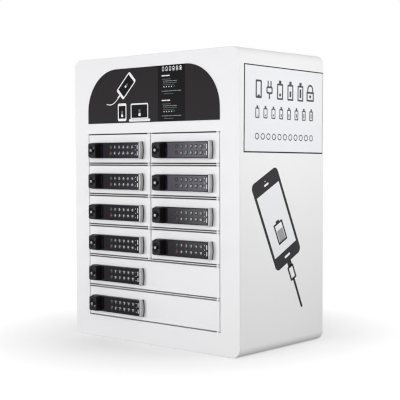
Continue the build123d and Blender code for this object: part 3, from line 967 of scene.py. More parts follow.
def battery_sign(x, z, height, charge, stroke):
    """A battery with a tip, filled up to its charge, its sizes shares of height and stroke."""
    width = height * 0.62
    body = hollow(x, z, width, height, 2.0, stroke)
    tip = [rounded(x, z + height / 2 + stroke * 0.9, width * 0.4, stroke * 1.8, 0.8)]
    room = height - 4 * stroke
    level = [rounded(x, z - room * (1 - charge) / 2, width - 4 * stroke, room * charge, 0.6)]
    return [body, tip, level]


def plug_sign(x, z, height, stroke):
    """A two-pin plug over its lead, all its sizes shares of its height."""
    body = hollow(x, z - height * 0.02, height * 0.56, height * 0.42, height * 0.12, stroke)
    pins = [
        [rounded(x + side * height * 0.13, z + height * 0.34, stroke, height * 0.3, 0.4)]
        for side in (-1, 1)
    ]
    tail = [rounded(x, z - height * 0.37, stroke, height * 0.28, 0.4)]
    return [body, *pins, tail]


def padlock_sign(x, z, height, stroke):
    """A closed padlock, all its sizes shares of its height."""
    body = hollow(x, z - height * 0.18, height * 0.72, height * 0.56, 1.6, stroke)
    arc = [math.radians(180 * step / 16) for step in range(17)]
    legs = [(height * 0.24 * math.cos(a), height * (0.22 + 0.24 * math.sin(a))) for a in arc]
    legs = [(height * 0.24, height * 0.08), *legs, (-height * 0.24, height * 0.08)]
    shackle = ribbon([(x + u, z + v) for u, v in legs], stroke)
    return [body, [shackle], [circle(x, z - height * 0.18, stroke * 0.9)]]


def phone_sign(x, z, height, stroke):
    """An upright phone with a bar at its foot, all its sizes shares of its height."""
    body = hollow(x, z, height * 0.54, height, height * 0.08, stroke)
    return [body, [rounded(x, z - height * 0.36, height * 0.2, stroke, 0.4)]]


ROW_HALF = 100.0
LARGE_SIGN, SMALL_SIGN, ROUND_SIGN = 37.0, 24.0, 13.5
LARGE_ROW, SMALL_ROW, ROUND_ROW = 40.0, -6.5, -55.0
LARGE_STROKE, CHARGE_STROKE, SMALL_STROKE, ROUND_STROKE = 3.9, 3.6, 2.5, 2.1
LARGE_CHARGES = (0.3, 0.65, 1.0)
SMALL_SIGNS, ROUND_SIGNS = 8, 11
SIGN_WIDTH = 0.6
LARGE_TIP, SMALL_TIP = 4.0, 3.0


def sign_places(count, size):
    """Places of a row's signs along the label, the outer ones flush with the row's ends."""
    half = ROW_HALF - size / 2
    return [half * (2 * step / (count - 1) - 1) for step in range(count)]


signs = []
phone_x, plug_x, *charge_places, padlock_x = sign_places(6, LARGE_SIGN * SIGN_WIDTH)
signs += phone_sign(phone_x, LARGE_ROW, LARGE_SIGN, LARGE_STROKE)
signs += plug_sign(plug_x, LARGE_ROW, LARGE_SIGN, LARGE_STROKE)
for x, charge in zip(charge_places, LARGE_CHARGES):
    z, height = LARGE_ROW - LARGE_TIP / 2, LARGE_SIGN - LARGE_TIP
    signs += battery_sign(x, z, height, charge, CHARGE_STROKE)
signs += padlock_sign(padlock_x, LARGE_ROW, LARGE_SIGN, LARGE_STROKE)
for step, x in enumerate(sign_places(SMALL_SIGNS, SMALL_SIGN * SIGN_WIDTH)):
    z, height = SMALL_ROW - SMALL_TIP / 2, SMALL_SIGN - SMALL_TIP
    signs += battery_sign(x, z, height, (step + 1) / SMALL_SIGNS, SMALL_STROKE)
round_corner = ROUND_SIGN / 2 - 0.01
for x in sign_places(ROUND_SIGNS, ROUND_SIGN):
    signs.append(hollow(x, ROUND_ROW, ROUND_SIGN, ROUND_SIGN, round_corner, ROUND_STROKE))
film_on_side("side_label_signs", signs, LABEL_TILT, sign_grey, 2)

# Place from the phone's middle, width, height and corner radius of each of its parts
PHONE_BODY = (0, 0, 94.4, 200.0, 12.0)
PHONE_SCREEN = (0, -2.0, 80.0, 140.0, 1.0)
PHONE_SPEAKER = (0, 79.8, 15.0, 4.4, 2.1)
PHONE_CAMERA = (-1.0, 87.6, 1.3)
PHONE_BAR = (0, -86.0, 20.0, 5.0, 2.4)
BATTERY_BODY = (0, -30.3, 31.5, 45.7, 1.5)
BATTERY_TIP = (0, -5.6, 11.5, 5.2, 0.8)
BATTERY_STROKE = 4.0
BATTERY_LEVEL = (0, -37.0, 20.4, 26.6, 0.5)
CONNECTOR = (-0.6, -106.0, 14.0, 14.0, 1.2)
PLUG_BODY = (-1.2, -126.0, 21.5, 33.0, 3.0)
PLUG_STROKE = 4.6
LEAD_WIDTH = 6.4
LEAD_ENDS = ((-1.6, -139.0), (-2.6, -211.0))


phone_windows = [
    rounded(*PHONE_SCREEN), rounded(*PHONE_SPEAKER), circle(*PHONE_CAMERA, 12), rounded(*PHONE_BAR)
]
phone_body = [rounded(*PHONE_BODY, 12), *(window[::-1] for window in phone_windows)]
phone_lead = [[rounded(*CONNECTOR)], hollow(*PLUG_BODY, PLUG_STROKE), [ribbon(LEAD_ENDS, LEAD_WIDTH)]]
film_on_side("side_phone_body", [phone_body, *phone_lead], PHONE_TILT, film_dark, 1)
window_films = [[window] for window in phone_windows]
film_on_side("side_phone_screen", window_films, PHONE_TILT, label_white, 1)
battery_lines = [hollow(*BATTERY_BODY, BATTERY_STROKE), [rounded(*BATTERY_TIP)]]
film_on_side("side_phone_battery", battery_lines, PHONE_TILT, film_dark, 2)
film_on_side("side_phone_charge", [[rounded(*BATTERY_LEVEL)]], PHONE_TILT, film_grey, 2)

# Keypad case of each lock: satin black ABS in one moulding with rounded front edges, a bore
# for the spindle and a small window. A glossy polyester keypad sheet covers its front and
# mirrors the room faintly.

lock_black = surface(
    "satin_black_moulded_abs_case", "0C0B0D", 0.34, grain=0.9, relief=0.012, spread=(0.3, 0.42),
    tones=("0C0B0D", "121114"), patch=25.0, IOR=1.53, Specular_IOR_Level=0.1,
)
sheet_black = surface(
    "black_polyester_keypad_sheet", "0D0C12", 0.13, grain=1.5, relief=0.002, spread=(0.11, 0.16),
    tones=("0C0B11", "100F15"), patch=25.0, IOR=1.57, Specular_IOR_Level=0.1,
)

KEYPAD_LENGTH, KEYPAD_HEIGHT, KEYPAD_DEPTH = 151.0, 34.5, 11.0
KEYPAD_RADIUS, KEYPAD_EDGE = 2.5, 1.5
KNOB_AXIS = 17.2
SPINDLE_RADIUS, BORE_FIT = 5.0, 0.05
WINDOW_X, WINDOW_WIDTH, WINDOW_HEIGHT, WINDOW_DEPTH = 33.0, 3.0, 9.0, 0.5
WINDOW_CORNER = 0.6
OVERLAY_LEFT, OVERLAY_RIGHT, OVERLAY_HEIGHT, OVERLAY_RISE = 37.0, 149.3, 31.0, 0.25
OVERLAY_CORNER, OVERLAY_EDGE = 1.6, 0.12
CUT_OVER = 1.0


def lock_origin(place):
    """Left end of a lock at its middle height, on the door's face."""
    low, high = box_mm(f"lock_case_{place}")
    return Vector((low.x, front_y, (low.z + high.z) / 2))


def fit_locks(template, label, body, slot, node=None, angle=32.0):
    """A copy of a lock's piece on each of the ten locks, with its place in its mesh."""
    for place in places:
        piece = bpy.data.objects.new(f"{label}_{place}", template.data.copy())
        piece.data.transform(Matrix.Translation(lock_origin(place) / 1000))
        bpy.context.collection.objects.link(piece)
        soften(piece, angle)
        finish_piece(piece, f"{body}_{place}", slot, *([f"{node}_{place}"] if node else []))
    bpy.data.objects.remove(template)


def block_rings(x, width, height, radius, profile, steps, share=1.0):
    """Rings of a block at the lock's middle height, from its profile of insets and depths."""
    return [
        ring(x, 0, width - 2 * inset, height - 2 * inset, radius - inset * share, y, steps)
        for inset, y in profile
    ]


def axis_circle(radius, y, count=32):
    """A circle about the knob's axis at depth y."""
    return [(u, y, v) for u, v in circle(KNOB_AXIS, 0, radius, count)]


keypad_profile = [(0, 0), *quarter_round(0, -KEYPAD_DEPTH, KEYPAD_EDGE, 5)]
keypad_rings = block_rings(
    KEYPAD_LENGTH / 2, KEYPAD_LENGTH, KEYPAD_HEIGHT, KEYPAD_RADIUS, keypad_profile, 6, share=0.8
)
keypad_case = new_piece("keypad case", *loft(keypad_rings), lock_black)
bore_ends = (-KEYPAD_DEPTH - CUT_OVER, CUT_OVER)
bore_rings = [axis_circle(SPINDLE_RADIUS + BORE_FIT, y) for y in bore_ends]
window_profile = [(0, -KEYPAD_DEPTH - CUT_OVER), (0, -KEYPAD_DEPTH + WINDOW_DEPTH)]
window_rings = block_rings(
    WINDOW_X, WINDOW_WIDTH, WINDOW_HEIGHT, WINDOW_CORNER, window_profile, 3
)
bore = new_piece("bore", *loft(bore_rings), lock_black)
window_cut = new_piece("window cut", *loft(window_rings), lock_black)
cut(keypad_case, [bore, window_cut])
fit_locks(keypad_case, "keypad_case", "door", "lock_plastic", "lock_case")


def on_lock(u, v, depth):
    """A point on the front of a lock, depth in mm over the keypad case's face."""
    return u, -KEYPAD_DEPTH - depth, v


overlay_middle = (OVERLAY_LEFT + OVERLAY_RIGHT) / 2
overlay_width = OVERLAY_RIGHT - OVERLAY_LEFT
overlay_profile = [(0, -KEYPAD_DEPTH), *quarter_round(0, -KEYPAD_DEPTH - OVERLAY_RISE, OVERLAY_EDGE, 2)]
overlay_rings = block_rings(
    overlay_middle, overlay_width, OVERLAY_HEIGHT, OVERLAY_CORNER, overlay_profile, 5
)
keypad_sheet = new_piece("keypad sheet", *loft(overlay_rings), sheet_black)
fit_locks(keypad_sheet, "keypad_sheet", "door", "lock_plastic")

# Window of the lock: a lens of deep red acrylic over an unlit lamp, pressed into the case
# nearly flush, so that the turning knob passes over it.

red_lens = surface(
    "deep_red_acrylic_lens", "3C0A0D", 0.12, grain=2.0, relief=0.004, spread=(0.1, 0.16),
    IOR=1.49, Specular_IOR_Level=0.2,
)

LENS_CORNER, LENS_FIT = 0.55, 0.05
LENS_EDGE, LENS_RISE = 0.3, 0.1

lens_profile = [
    (LENS_FIT, -KEYPAD_DEPTH + WINDOW_DEPTH),
    (LENS_FIT, -KEYPAD_DEPTH + LENS_FIT),
    (LENS_EDGE, -KEYPAD_DEPTH - LENS_RISE),
]
lens_rings = block_rings(
    WINDOW_X, WINDOW_WIDTH, WINDOW_HEIGHT, LENS_CORNER, lens_profile, 3, share=0.0
)
window_lens = new_piece("window lens", *loft(lens_rings), red_lens)
fit_locks(window_lens, "window_lens", "door", "lock_plastic")

# Keys: low domes of one black silicone mat that press up the keypad sheet, two rows of six,
# each with a soft highlight. The first column holds a tick and a cross, the others plain
# digits in pale, slightly glossy ink.

key_silicone = surface(
    "black_silicone_keys", "0B0A0D", 0.24, grain=0.6, relief=0.004, spread=(0.18, 0.26),
    tones=("0A090C", "0E0D10"), patch=6.0, IOR=1.43, Specular_IOR_Level=0.6,
)
key_ink = surface(
    "light_grey_key_ink", "C6C6C8", 0.25, grain=0.5, relief=0.003, spread=(0.2, 0.3), IOR=1.5
)
green_ink = ink("green_screen_ink", "28602F")
red_ink = ink("red_screen_ink", "961E26")

KEY_COLUMNS, KEY_ROWS = 6, 2
KEY_PITCH_X, KEY_PITCH_Z = 13.48, 13.1
FIRST_KEY, KEY_RISE = 65.5, 0.6
KEY_RADIUS, KEY_HEIGHT = 4.5, 1.0
DIGITS = "1234567890"
DIGIT_SIZE, DIGIT_THICKNESS = 7.0, 0.15
LEGEND = 0.05

key_tree, wanted, ends = new_tree("domed keys", {
    "Base": "NodeSocketGeometry",
    "Pitch X": "NodeSocketFloat",
    "Pitch Z": "NodeSocketFloat",
    "Columns": "NodeSocketInt",
    "Rows": "NodeSocketInt",
    "Ball Radius": "NodeSocketFloat",
    "Key Height": "NodeSocketFloat",
    "Finish": "NodeSocketMaterial",
})


def span(tree, pitch, count):
    """Distance over a number of steps, one less than the count."""
    steps = add_node(tree, "ShaderNodeMath", {"operation": "SUBTRACT", 1: 1.0}, {0: count})
    return add_node(
        tree, "ShaderNodeMath", {"operation": "MULTIPLY"}, {0: pitch, 1: steps.outputs[0]}
    ).outputs[0]


grid = add_node(
    key_tree,
    "GeometryNodeMeshGrid",
    {},
    {
        "Size X": span(key_tree, wanted["Pitch X"], wanted["Columns"]),
        "Size Y": span(key_tree, wanted["Pitch Z"], wanted["Rows"]),
        "Vertices X": wanted["Columns"],
        "Vertices Y": wanted["Rows"],
    },
)
key_ball = add_node(
    key_tree,
    "GeometryNodeMeshUVSphere",
    {"Segments": 24, "Rings": 32},
    {"Radius": wanted["Ball Radius"]},
)
sunk = add_node(
    key_tree,
    "ShaderNodeMath",
    {"operation": "SUBTRACT"},
    {0: wanted["Key Height"], 1: wanted["Ball Radius"]},
)
drop = add_node(key_tree, "ShaderNodeCombineXYZ", {}, {"Z": sunk.outputs[0]})
low_ball = add_node(
    key_tree,
    "GeometryNodeTransform",
    {},
    {"Geometry": key_ball.outputs["Mesh"], "Translation": drop.outputs["Vector"]},
)
radius = wanted["Ball Radius"]
wide, below = (
    add_node(key_tree, "ShaderNodeMath", {"operation": "MULTIPLY", 1: part}, {0: radius}).outputs[0]
    for part in (4.0, -2.0)
)
floor_cut = block(key_tree, wide, wide, wide, below)
dome = add_node(
    key_tree,
    "GeometryNodeMeshBoolean",
    {"operation": "DIFFERENCE", "solver": "EXACT"},
    {"Mesh 1": low_ball.outputs["Geometry"], "Mesh 2": floor_cut},
)
domes = add_node(
    key_tree,
    "GeometryNodeInstanceOnPoints",
    {},
    {"Points": grid.outputs["Mesh"], "Instance": dome.outputs["Mesh"]},
)
end_tree(key_tree, ends, domes.outputs["Instances"], wanted["Finish"])

keys = grow("keys", key_tree, [(0, 0, 0)], {
    "Pitch X": KEY_PITCH_X / 1000,
    "Pitch Z": KEY_PITCH_Z / 1000,
    "Columns": KEY_COLUMNS,
    "Rows": KEY_ROWS,
    "Ball Radius": (KEY_RADIUS ** 2 + KEY_HEIGHT ** 2) / (2 * KEY_HEIGHT) / 1000,
    "Key Height": KEY_HEIGHT / 1000,
    "Finish": key_silicone,
})
keys_middle = FIRST_KEY + KEY_PITCH_X * (KEY_COLUMNS - 1) / 2
keys_place = Vector((keys_middle, -KEYPAD_DEPTH - OVERLAY_RISE, KEY_RISE)) / 1000
keys.data.transform(Matrix.Translation(keys_place) @ Matrix.Rotation(math.radians(90), 4, "X"))
fit_locks(keys, "keys", "door", "lock_plastic", angle=45.0)

key_top = OVERLAY_RISE + KEY_HEIGHT


def key_place(column, row):
    """Middle of a key: column from the left, row 0 is the upper one."""
    return FIRST_KEY + KEY_PITCH_X * column, KEY_RISE + KEY_PITCH_Z * (0.5 - row)


def digit_shape(digit, x, z):
    """Points and faces of one printed digit on its key, from the plain built-in font."""
    curve = bpy.data.curves.new("digit", "FONT")
    curve.body = digit
    curve.size = DIGIT_SIZE
    curve.align_x = "CENTER"
    curve.align_y = "CENTER"
    curve.extrude = DIGIT_THICKNESS
    curve.resolution_u = 3
    writer = bpy.data.objects.new("digit", curve)
    mesh = bpy.data.meshes.new_from_object(writer)
    middle = key_top + LEGEND - DIGIT_THICKNESS
    points = [on_lock(x + v.co.x, z + v.co.y, middle + v.co.z) for v in mesh.vertices]
    faces = [tuple(face.vertices) for face in mesh.polygons]
    bpy.data.objects.remove(writer)
    bpy.data.curves.remove(curve)
    bpy.data.meshes.remove(mesh)
    return points, faces


digits_in_row = KEY_COLUMNS - 1
digits = join([
    digit_shape(digit, *key_place(1 + index % digits_in_row, index // digits_in_row))
    for index, digit in enumerate(DIGITS)
])
fit_locks(new_piece("key digits", *digits, key_ink), "key_digits", "door", "lock_plastic")


def print_on_locks(label, shapes, material, base, rise):
    """A small print on every lock, from a base height over the keypad case's face."""
    template = new_piece(label, *flat_solid(shapes, on_lock, base, base + rise), material)
    fit_locks(template, label, "door", "lock_plastic")


LEGEND_SUNK, LEGEND_THICKNESS = 0.25, 0.3
KEY_TICK = (4.4, 1.1)
CROSS_BAR = (4.6, 1.4, 0.3)
# Turn of each bar of the cross and how much lower it is, so that the two share no face
CROSS = {"rising": (45, 0.0), "falling": (-45, 0.02)}
DOTS_X, DOTS_Z, KEY_DOT_RADIUS = 141.4, (10.0, 1.0, -8.5), 0.8
MARK_X, MARK_WIDTH, MARKS = 147.4, 1.7, ((6.8, 9.6), (-6.6, 8.6))

legend_base = key_top - LEGEND_SUNK
key_tick = tick(*key_place(0, 0), *KEY_TICK)
print_on_locks("key_tick", [[key_tick]], green_ink, legend_base, LEGEND_THICKNESS)
for label, (turn, lower) in CROSS.items():
    cross_bar = turned(rounded(0, 0, *CROSS_BAR, 2), turn, *key_place(0, 1))
    thickness = LEGEND_THICKNESS - lower
    print_on_locks(f"key_cross_{label}", [[cross_bar]], red_ink, legend_base, thickness)
dots = [[circle(DOTS_X, z, KEY_DOT_RADIUS, 16)] for z in DOTS_Z]
print_on_locks("key_dots", dots, white_ink, OVERLAY_RISE, LEGEND)
end_marks = [[rounded(MARK_X, z, MARK_WIDTH, height, 0.5, 2)] for z, height in MARKS]
print_on_locks("end_marks", end_marks, white_ink, OVERLAY_RISE, LEGEND)

# End cap of the lock: die-cast zinc in matt silver lacquer, square against the case and
# bowed outwards at its free end. It sits on a dark grey moulded seat, which shows as a line.

silver_lacquer = surface(
    "silver_lacquered_cast_zinc", "B4B4B5", 0.5, grain=0.5, relief=0.006, spread=(0.44, 0.56),
    tones=("AFAFB0", "B9B9B9"), patch=8.0, metallic=0.2,
)
seat_grey = surface(
    "dark_grey_moulded_cap_seat", "262422", 0.5, grain=0.8, relief=0.008, spread=(0.45, 0.58),
    IOR=1.53, Specular_IOR_Level=0.3,
)

CAP_HEIGHT, CAP_LENGTH, CAP_BOW, CAP_EDGE = 37.5, 2.4, 2.6, 1.4
CAP_STEPS = 20
FREE_END_SHARE, KEYPAD_END_SHARE = 0.8, 0.2
CAP_SEAT, CAP_GROOVE = 3.0, 0.3


def cap_outline(inset):
    """The end cap's outline drawn inwards: flat at the case, an arc at the free end."""
    half = CAP_HEIGHT / 2 - inset
    left = KEYPAD_LENGTH + inset * KEYPAD_END_SHARE
    right = KEYPAD_LENGTH + (CAP_LENGTH - inset * FREE_END_SHARE)
    points = [(right, -half), (left, -half), (left, half), (right, half)]
    for step in range(1, CAP_STEPS):
        rise = half * math.cos(math.pi * step / CAP_STEPS)
        points.append((right + CAP_BOW * (1 - (rise / half) ** 2), rise))
    return points


def cap_rings(steps):
    """Rings of the end cap's outline, from pairs of inset and depth."""
    return [[(u, y, v) for u, v in cap_outline(inset)] for inset, y in steps]


seat_rings = cap_rings([(0, 0), (0, -CAP_SEAT)])
fit_locks(new_piece("cap seat", *loft(seat_rings), seat_grey), "cap_seat", "door", "lock_plastic")
cap_edges = [(CAP_GROOVE, -CAP_SEAT), (0, -CAP_SEAT - CAP_GROOVE)]
end_cap_rings = cap_rings(cap_edges + list(quarter_round(0, -KEYPAD_DEPTH, CAP_EDGE, 4)))
end_cap = new_piece("end cap", *loft(end_cap_rings), silver_lacquer)
fit_locks(end_cap, "end_cap", "door", "cap_metal", "lock_cap", 40.0)

# Knob: a tapered block of satin black ABS with rounded edges. A dish in its face, polished
# to a deeper black, slopes down to the socket of the key barrel.

knob_black = surface(
    "satin_black_moulded_abs_knob", "0D0C0E", 0.42, grain=0.9, relief=0.01, spread=(0.38, 0.5),
    tones=("0B0A0C", "111012"), patch=20.0, IOR=1.53, Specular_IOR_Level=0.1,
)
dish_black = surface(
    "polished_black_abs_dish", "060507", 0.18, grain=0.9, relief=0.003, spread=(0.15, 0.22),
    IOR=1.53, Specular_IOR_Level=0.1,
)

KNOB_WIDTH, KNOB_HEIGHT, KNOB_DEPTH = 27.3, 35.0, 12.5
KNOB_CORNER, KNOB_EDGE, KNOB_REAR_EDGE, KNOB_GAP = 5.0, 1.3, 0.6, 0.3
KNOB_TAPER = math.tan(math.radians(9.2))
KNOB_STEPS = 12
# Corner radius as a share of half the width, just short of a full circle
ROUND_CORNER = 0.9999
DISH_RADIUS, DISH_DEPTH, DISH_LIP, DISH_EDGE = 9.3, 2.5, 0.4, 0.1
CONE_TOP, CONE_FLOOR, CONE_STEPS = 0.5, 2.2, 6
BARREL_RADIUS, SOCKET_FIT, SOCKET_DEPTH = 3.0, 0.05, 2.0

knob_rear = -KEYPAD_DEPTH - KNOB_GAP
knob_front = knob_rear - KNOB_DEPTH
dish_floor = knob_front + DISH_DEPTH


def knob_ring(inset, y):
    """Outline of the knob drawn inwards at depth y, its taper taken into account."""
    taper = KNOB_TAPER * (knob_rear - y)
    width, height = KNOB_WIDTH - 2 * (inset + taper), KNOB_HEIGHT - 2 * (inset + taper)
    return ring(KNOB_AXIS, 0, width, height, KNOB_CORNER - (inset + taper) * 0.5, y, KNOB_STEPS)


def round_ring(radius, y, steps=KNOB_STEPS):
    """A circle about the knob's axis with as many points as an outline with square sides."""
    return ring(KNOB_AXIS, 0, 2 * radius, 2 * radius, radius * ROUND_CORNER, y, steps)


knob_rings = [knob_ring(KNOB_REAR_EDGE, knob_rear), knob_ring(0, knob_rear - KNOB_REAR_EDGE)]
knob_rings += [knob_ring(inset, y) for inset, y in quarter_round(0, knob_front, KNOB_EDGE, 5)]
knob_rings.append(round_ring(DISH_RADIUS + DISH_LIP, knob_front))
knob_rings.append(round_ring(DISH_RADIUS, knob_front + DISH_EDGE))
socket_radius = BARREL_RADIUS + SOCKET_FIT
for step in range(CONE_STEPS + 1):
    inward = step / CONE_STEPS
    radius = DISH_RADIUS - DISH_LIP + (socket_radius - DISH_RADIUS + DISH_LIP) * inward
    depth = CONE_TOP + (CONE_FLOOR - CONE_TOP) * inward
    knob_rings.append(round_ring(radius, knob_front + depth))
knob_rings.append(round_ring(socket_radius, dish_floor + SOCKET_DEPTH))
knob_template = new_piece("knob", *loft(knob_rings), knob_black)
knob_template.data.materials.append(dish_black)
for face in knob_template.data.polygons:
    x, y, z = face.center * 1000
    below_face = y > knob_front + DISH_EDGE / 5
    face.material_index = int(below_face and math.hypot(x - KNOB_AXIS, z) < DISH_RADIUS)
fit_locks(knob_template, "turning_knob", "knob", "knob_plastic", "lock_knob", 40.0)

# Key barrel of the knob: nickel-plated brass with an upright keyway. Its front is worn to a
# soft shine, so it shows as one bright spot in the dark dish.

bright_nickel = surface(
    "bright_nickel_plated_brass", "7F7E7C", 0.34, grain=0.4, relief=0.004, spread=(0.3, 0.4),
    metallic=1.0,
)

BARREL_PROJECTION, BARREL_SUNK = 3.0, 1.9
BARREL_EDGE = ((0.0, 0.4), (0.12, 0.12), (0.4, 0.0))
KEYWAY_WIDTH, KEYWAY_HEIGHT, KEYWAY_DEPTH, KEYWAY_CORNER = 1.0, 4.0, 2.5, 0.2

barrel_front = knob_front - BARREL_PROJECTION
barrel_rings = [axis_circle(BARREL_RADIUS, dish_floor + BARREL_SUNK)]
barrel_rings += [axis_circle(BARREL_RADIUS - inset, barrel_front + y) for inset, y in BARREL_EDGE]
barrel = new_piece("barrel", *loft(barrel_rings), bright_nickel)
keyway_profile = [(0, barrel_front - CUT_OVER), (0, barrel_front + KEYWAY_DEPTH)]
keyway_rings = block_rings(
    KNOB_AXIS, KEYWAY_WIDTH, KEYWAY_HEIGHT, KEYWAY_CORNER, keyway_profile, 2
)
cut(barrel, [new_piece("keyway", *loft(keyway_rings), bright_nickel)])
fit_locks(barrel, "key_barrel", "knob", "cap_metal", angle=40.0)

# Spindle, cam and nut behind each door: zinc-plated steel. The cam sits on the spindle's
# square and turns down behind the strike plate; a hexagon nut holds it on the thread.

CAM_FRONT, CAM_THICKNESS, CAM_FIT = 3.9, 2.0, 0.05
CAM_REACH, CAM_WIDTH, SQUARE, SQUARE_CORNER = 31.5, 12.0, 7.0, 0.5
SPINDLE_STEPS = 8
THREAD_RADIUS, THREAD_PITCH, THREAD_DEPTH = 3.4, 1.0, 0.35
NUT_FLATS, NUT_HEIGHT = 12.0, 4.0
NUT_INSET, NUT_CHAMFER = 0.8, 0.5

cam_rear = CAM_FRONT + CAM_THICKNESS
thread_end = cam_rear + CAM_FIT + NUT_HEIGHT
square_ends = (CAM_FRONT - CAM_FIT, cam_rear)
round_ends = (knob_rear, CAM_FRONT - CAM_FIT)
spindle_rings = [round_ring(SPINDLE_RADIUS, y, SPINDLE_STEPS) for y in round_ends]
spindle_rings += [
    ring(KNOB_AXIS, 0, SQUARE, SQUARE, SQUARE_CORNER, y, SPINDLE_STEPS) for y in square_ends
]
half_turns = int((thread_end - cam_rear) / THREAD_PITCH * 2)
for step in range(half_turns + 1):
    radius = THREAD_RADIUS - (0.0 if step % 2 else THREAD_DEPTH)
    y = cam_rear + step * (thread_end - cam_rear) / half_turns
    spindle_rings.append(round_ring(radius, y, SPINDLE_STEPS))
spindle = new_piece("spindle", *loft(spindle_rings), zinc_plate)
fit_locks(spindle, "spindle", "knob", "pin_steel", angle=50.0)


def behind_door(u, v, depth):
    """A point behind the door's face, depth in mm from it."""
    return u, depth, v


reach = CAM_REACH - CAM_WIDTH / 2
arm = rounded(KNOB_AXIS, reach / 2, CAM_WIDTH, reach + CAM_WIDTH, CAM_WIDTH / 2 - 0.001, 12)
hole_size = SQUARE + 2 * CAM_FIT
square_hole = rounded(KNOB_AXIS, 0, hole_size, hole_size, SQUARE_CORNER, 3)
cam_shape = flat_solid([[arm, square_hole[::-1]]], behind_door, CAM_FRONT, cam_rear)
cam = new_piece("cam", *cam_shape, zinc_plate)
fit_locks(cam, "cam", "knob", "pin_steel")


def hexagon(across, y, steps=8):
    """A hexagon about the knob's axis, with its corners left and right."""
    corner = across / math.sqrt(3)
    points = []
    for side in range(6):
        start, end = (
            (corner * math.cos(math.radians(60 * n)), corner * math.sin(math.radians(60 * n)))
            for n in (side, side + 1)
        )
        for step in range(steps):
            t = step / steps
            points.append((
                KNOB_AXIS + start[0] + (end[0] - start[0]) * t, y, start[1] + (end[1] - start[1]) * t
            ))
    return points


nut_front, nut_rear = cam_rear + CAM_FIT, thread_end
nut_rings = [
    hexagon(NUT_FLATS - NUT_INSET, nut_front),
    hexagon(NUT_FLATS, nut_front + NUT_CHAMFER),
    hexagon(NUT_FLATS, nut_rear - NUT_CHAMFER),
    hexagon(NUT_FLATS - NUT_INSET, nut_rear),
]
nut_bore = [
    axis_circle(THREAD_RADIUS + CAM_FIT, y, len(nut_rings[0])) for y in (nut_front, nut_rear)
]
nut_rings = [nut_bore[0], *nut_rings, nut_bore[1]]
nut = new_piece("nut", *loft(nut_rings, closed=True), zinc_plate)
fit_locks(nut, "cam_nut", "knob", "pin_steel")

# Studio: a pale floor and background, with large soft lamps from the right and the left and
# two smaller ones over and beside the case's right side. Two far to the left give the keypads
# and knobs their sheen. Round the case the floor's lift is dimmer: a painted shade ring that
# stands in for a soft shadow halo, and lets the floor's real shadow show.

WHITE = (1.0, 1.0, 1.0, 1.0)
FLOOR_SIZE = 12.0
FLOOR_GREY = (0.46, 0.46, 0.46, 1.0)
# Painted shade round the case: the floor's lift runs from dim near the case to white further out
FLOOR_PAINTED_SHADE_RADIUS, FLOOR_WHITE_RADIUS = 0.22, 0.62
FLOOR_PAINTED_SHADE_LIFT, FLOOR_WHITE_LIFT = 0.46, 0.86
WORLD_LIGHT, PAPER_LIGHT = 0.385, 1.0
LAVENDER = (0.74, 0.7, 1.0)


def direct_sight(tree):
    """1 where a ray comes from the camera, a reflection or a clear piece, and 0 elsewhere."""
    rays = add_node(tree, "ShaderNodeLightPath", {}).outputs
    sight = rays["Is Camera Ray"]
    for other in (rays["Is Glossy Ray"], rays["Is Transmission Ray"]):
        sight = add_node(
            tree, "ShaderNodeMath", {"operation": "MAXIMUM"}, {0: sight, 1: other}
        ).outputs[0]
    return sight


floor_paint = bpy.data.materials.new("pale_floor_with_painted_shade")
floor_paint.use_nodes = True
tree = floor_paint.node_tree
tree.nodes.clear()
matt = add_node(tree, "ShaderNodeBsdfDiffuse", {"Color": FLOOR_GREY})
ground = add_node(tree, "ShaderNodeTexCoord", {})
away = add_node(
    tree, "ShaderNodeVectorMath", {"operation": "LENGTH"}, {"Vector": ground.outputs["Object"]}
)
# Painted shade: the lift is dimmer near the case than further out, a shadow halo painted on the floor
lift_with_painted_shade = add_node(
    tree,
    "ShaderNodeMapRange",
    {
        "From Min": FLOOR_PAINTED_SHADE_RADIUS,
        "From Max": FLOOR_WHITE_RADIUS,
        "To Min": FLOOR_PAINTED_SHADE_LIFT,
        "To Max": FLOOR_WHITE_LIFT,
    },
    {"Value": away.outputs["Value"]},
)
lift = add_node(
    tree, "ShaderNodeEmission", {"Color": WHITE}, {"Strength": lift_with_painted_shade.outputs["Result"]}
)
lifted = add_node(
    tree, "ShaderNodeAddShader", {}, {0: matt.outputs["BSDF"], 1: lift.outputs["Emission"]}
)
choice = add_node(
    tree,
    "ShaderNodeMixShader",
    {},
    {0: direct_sight(tree), 1: matt.outputs["BSDF"], 2: lifted.outputs["Shader"]},
)
add_node(tree, "ShaderNodeOutputMaterial", {}, {"Surface": choice.outputs["Shader"]})

half = FLOOR_SIZE / 2
floor_mesh = bpy.data.meshes.new("floor")
floor_corners = [(-half, -half, 0), (half, -half, 0), (half, half, 0), (-half, half, 0)]
floor_mesh.from_pydata(floor_corners, [], [(0, 1, 2, 3)])
floor_mesh.materials.append(floor_paint)
floor = bpy.data.objects.new("floor", floor_mesh)
bpy.context.collection.objects.link(floor)

world = bpy.data.worlds.new("studio")
bpy.context.scene.world = world
world.use_nodes = True
tree = world.node_tree
tree.nodes.clear()
light = add_node(tree, "ShaderNodeBackground", {"Color": WHITE, "Strength": WORLD_LIGHT})
paper = add_node(tree, "ShaderNodeBackground", {"Color": WHITE, "Strength": PAPER_LIGHT})
choice = add_node(
    tree,
    "ShaderNodeMixShader",
    {},
    {0: direct_sight(tree), 1: light.outputs["Background"], 2: paper.outputs["Background"]},
)
add_node(tree, "ShaderNodeOutputWorld", {}, {"Surface": choice.outputs["Shader"]})


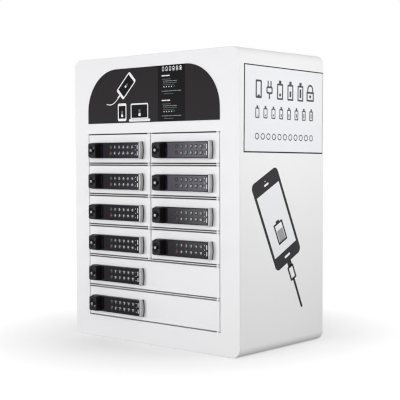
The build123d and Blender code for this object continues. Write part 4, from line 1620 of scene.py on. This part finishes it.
def softbox(name, place, target, size, power):
    """A square area lamp that points at a target, in metres and watts."""
    lamp = bpy.data.lights.new(name, "AREA")
    lamp.shape = "SQUARE"
    lamp.size = size
    lamp.energy = power
    holder = bpy.data.objects.new(name, lamp)
    holder.location = place
    holder.rotation_euler = (Vector(target) - Vector(place)).to_track_quat("-Z", "Y").to_euler()
    holder.visible_camera = False
    bpy.context.collection.objects.link(holder)
    return lamp


softbox("key_lamp", (1.5, -2.3, 0.85), (0, 0, 0.3), 1.2, 14.5)
softbox("left_lamp", (-1.15, -2.2, 0.3), (0, 0, 0.22), 0.9, 22.0)
softbox("right_lamp", (1.3, -0.65, 1.0), (0.1, -0.1, 0.35), 0.4, 3.2)
softbox("side_lamp", (0.86, 0.12, 0.56), (0.24, 0.08, 0.43), 0.4, 1.95)
sheen_lamp = softbox("sheen_lamp", (-2.17, -2.6, 0.36), (0, 0, 0.36), 0.42, 3.6)
sheen_lamp.color = LAVENDER
softbox("glint_lamp", (-2.1, -0.56, 0.14), (0, -0.16, 0.3), 0.5, 10.0)

# Camera: its place, turn and lens are fitted to the case's edges, the door gaps and the locks
# in the photograph, and its pixel filter to how sharp the photograph is.

CAMERA_PLACE = (1502.67, -1688.02, 403.92)
CAMERA_YAW, CAMERA_PITCH, CAMERA_ROLL = 41.483, -2.495, -0.176
CAMERA_LENS, CAMERA_SENSOR = 91.105, 36.0
PIXEL_FILTER = 1.25

camera_data = bpy.data.cameras.new("camera")
camera_data.sensor_width = CAMERA_SENSOR
camera_data.lens = CAMERA_LENS
camera = bpy.data.objects.new("camera", camera_data)
camera.matrix_world = (
    Matrix.Translation(Vector(CAMERA_PLACE) / 1000)
    @ Matrix.Rotation(math.radians(CAMERA_YAW), 4, "Z")
    @ Matrix.Rotation(math.radians(90 + CAMERA_PITCH), 4, "X")
    @ Matrix.Rotation(math.radians(CAMERA_ROLL), 4, "Z")
)
bpy.context.collection.objects.link(camera)
bpy.context.scene.camera = camera
bpy.context.scene.view_settings.view_transform = "Standard"
bpy.context.scene.cycles.filter_width = PIXEL_FILTER
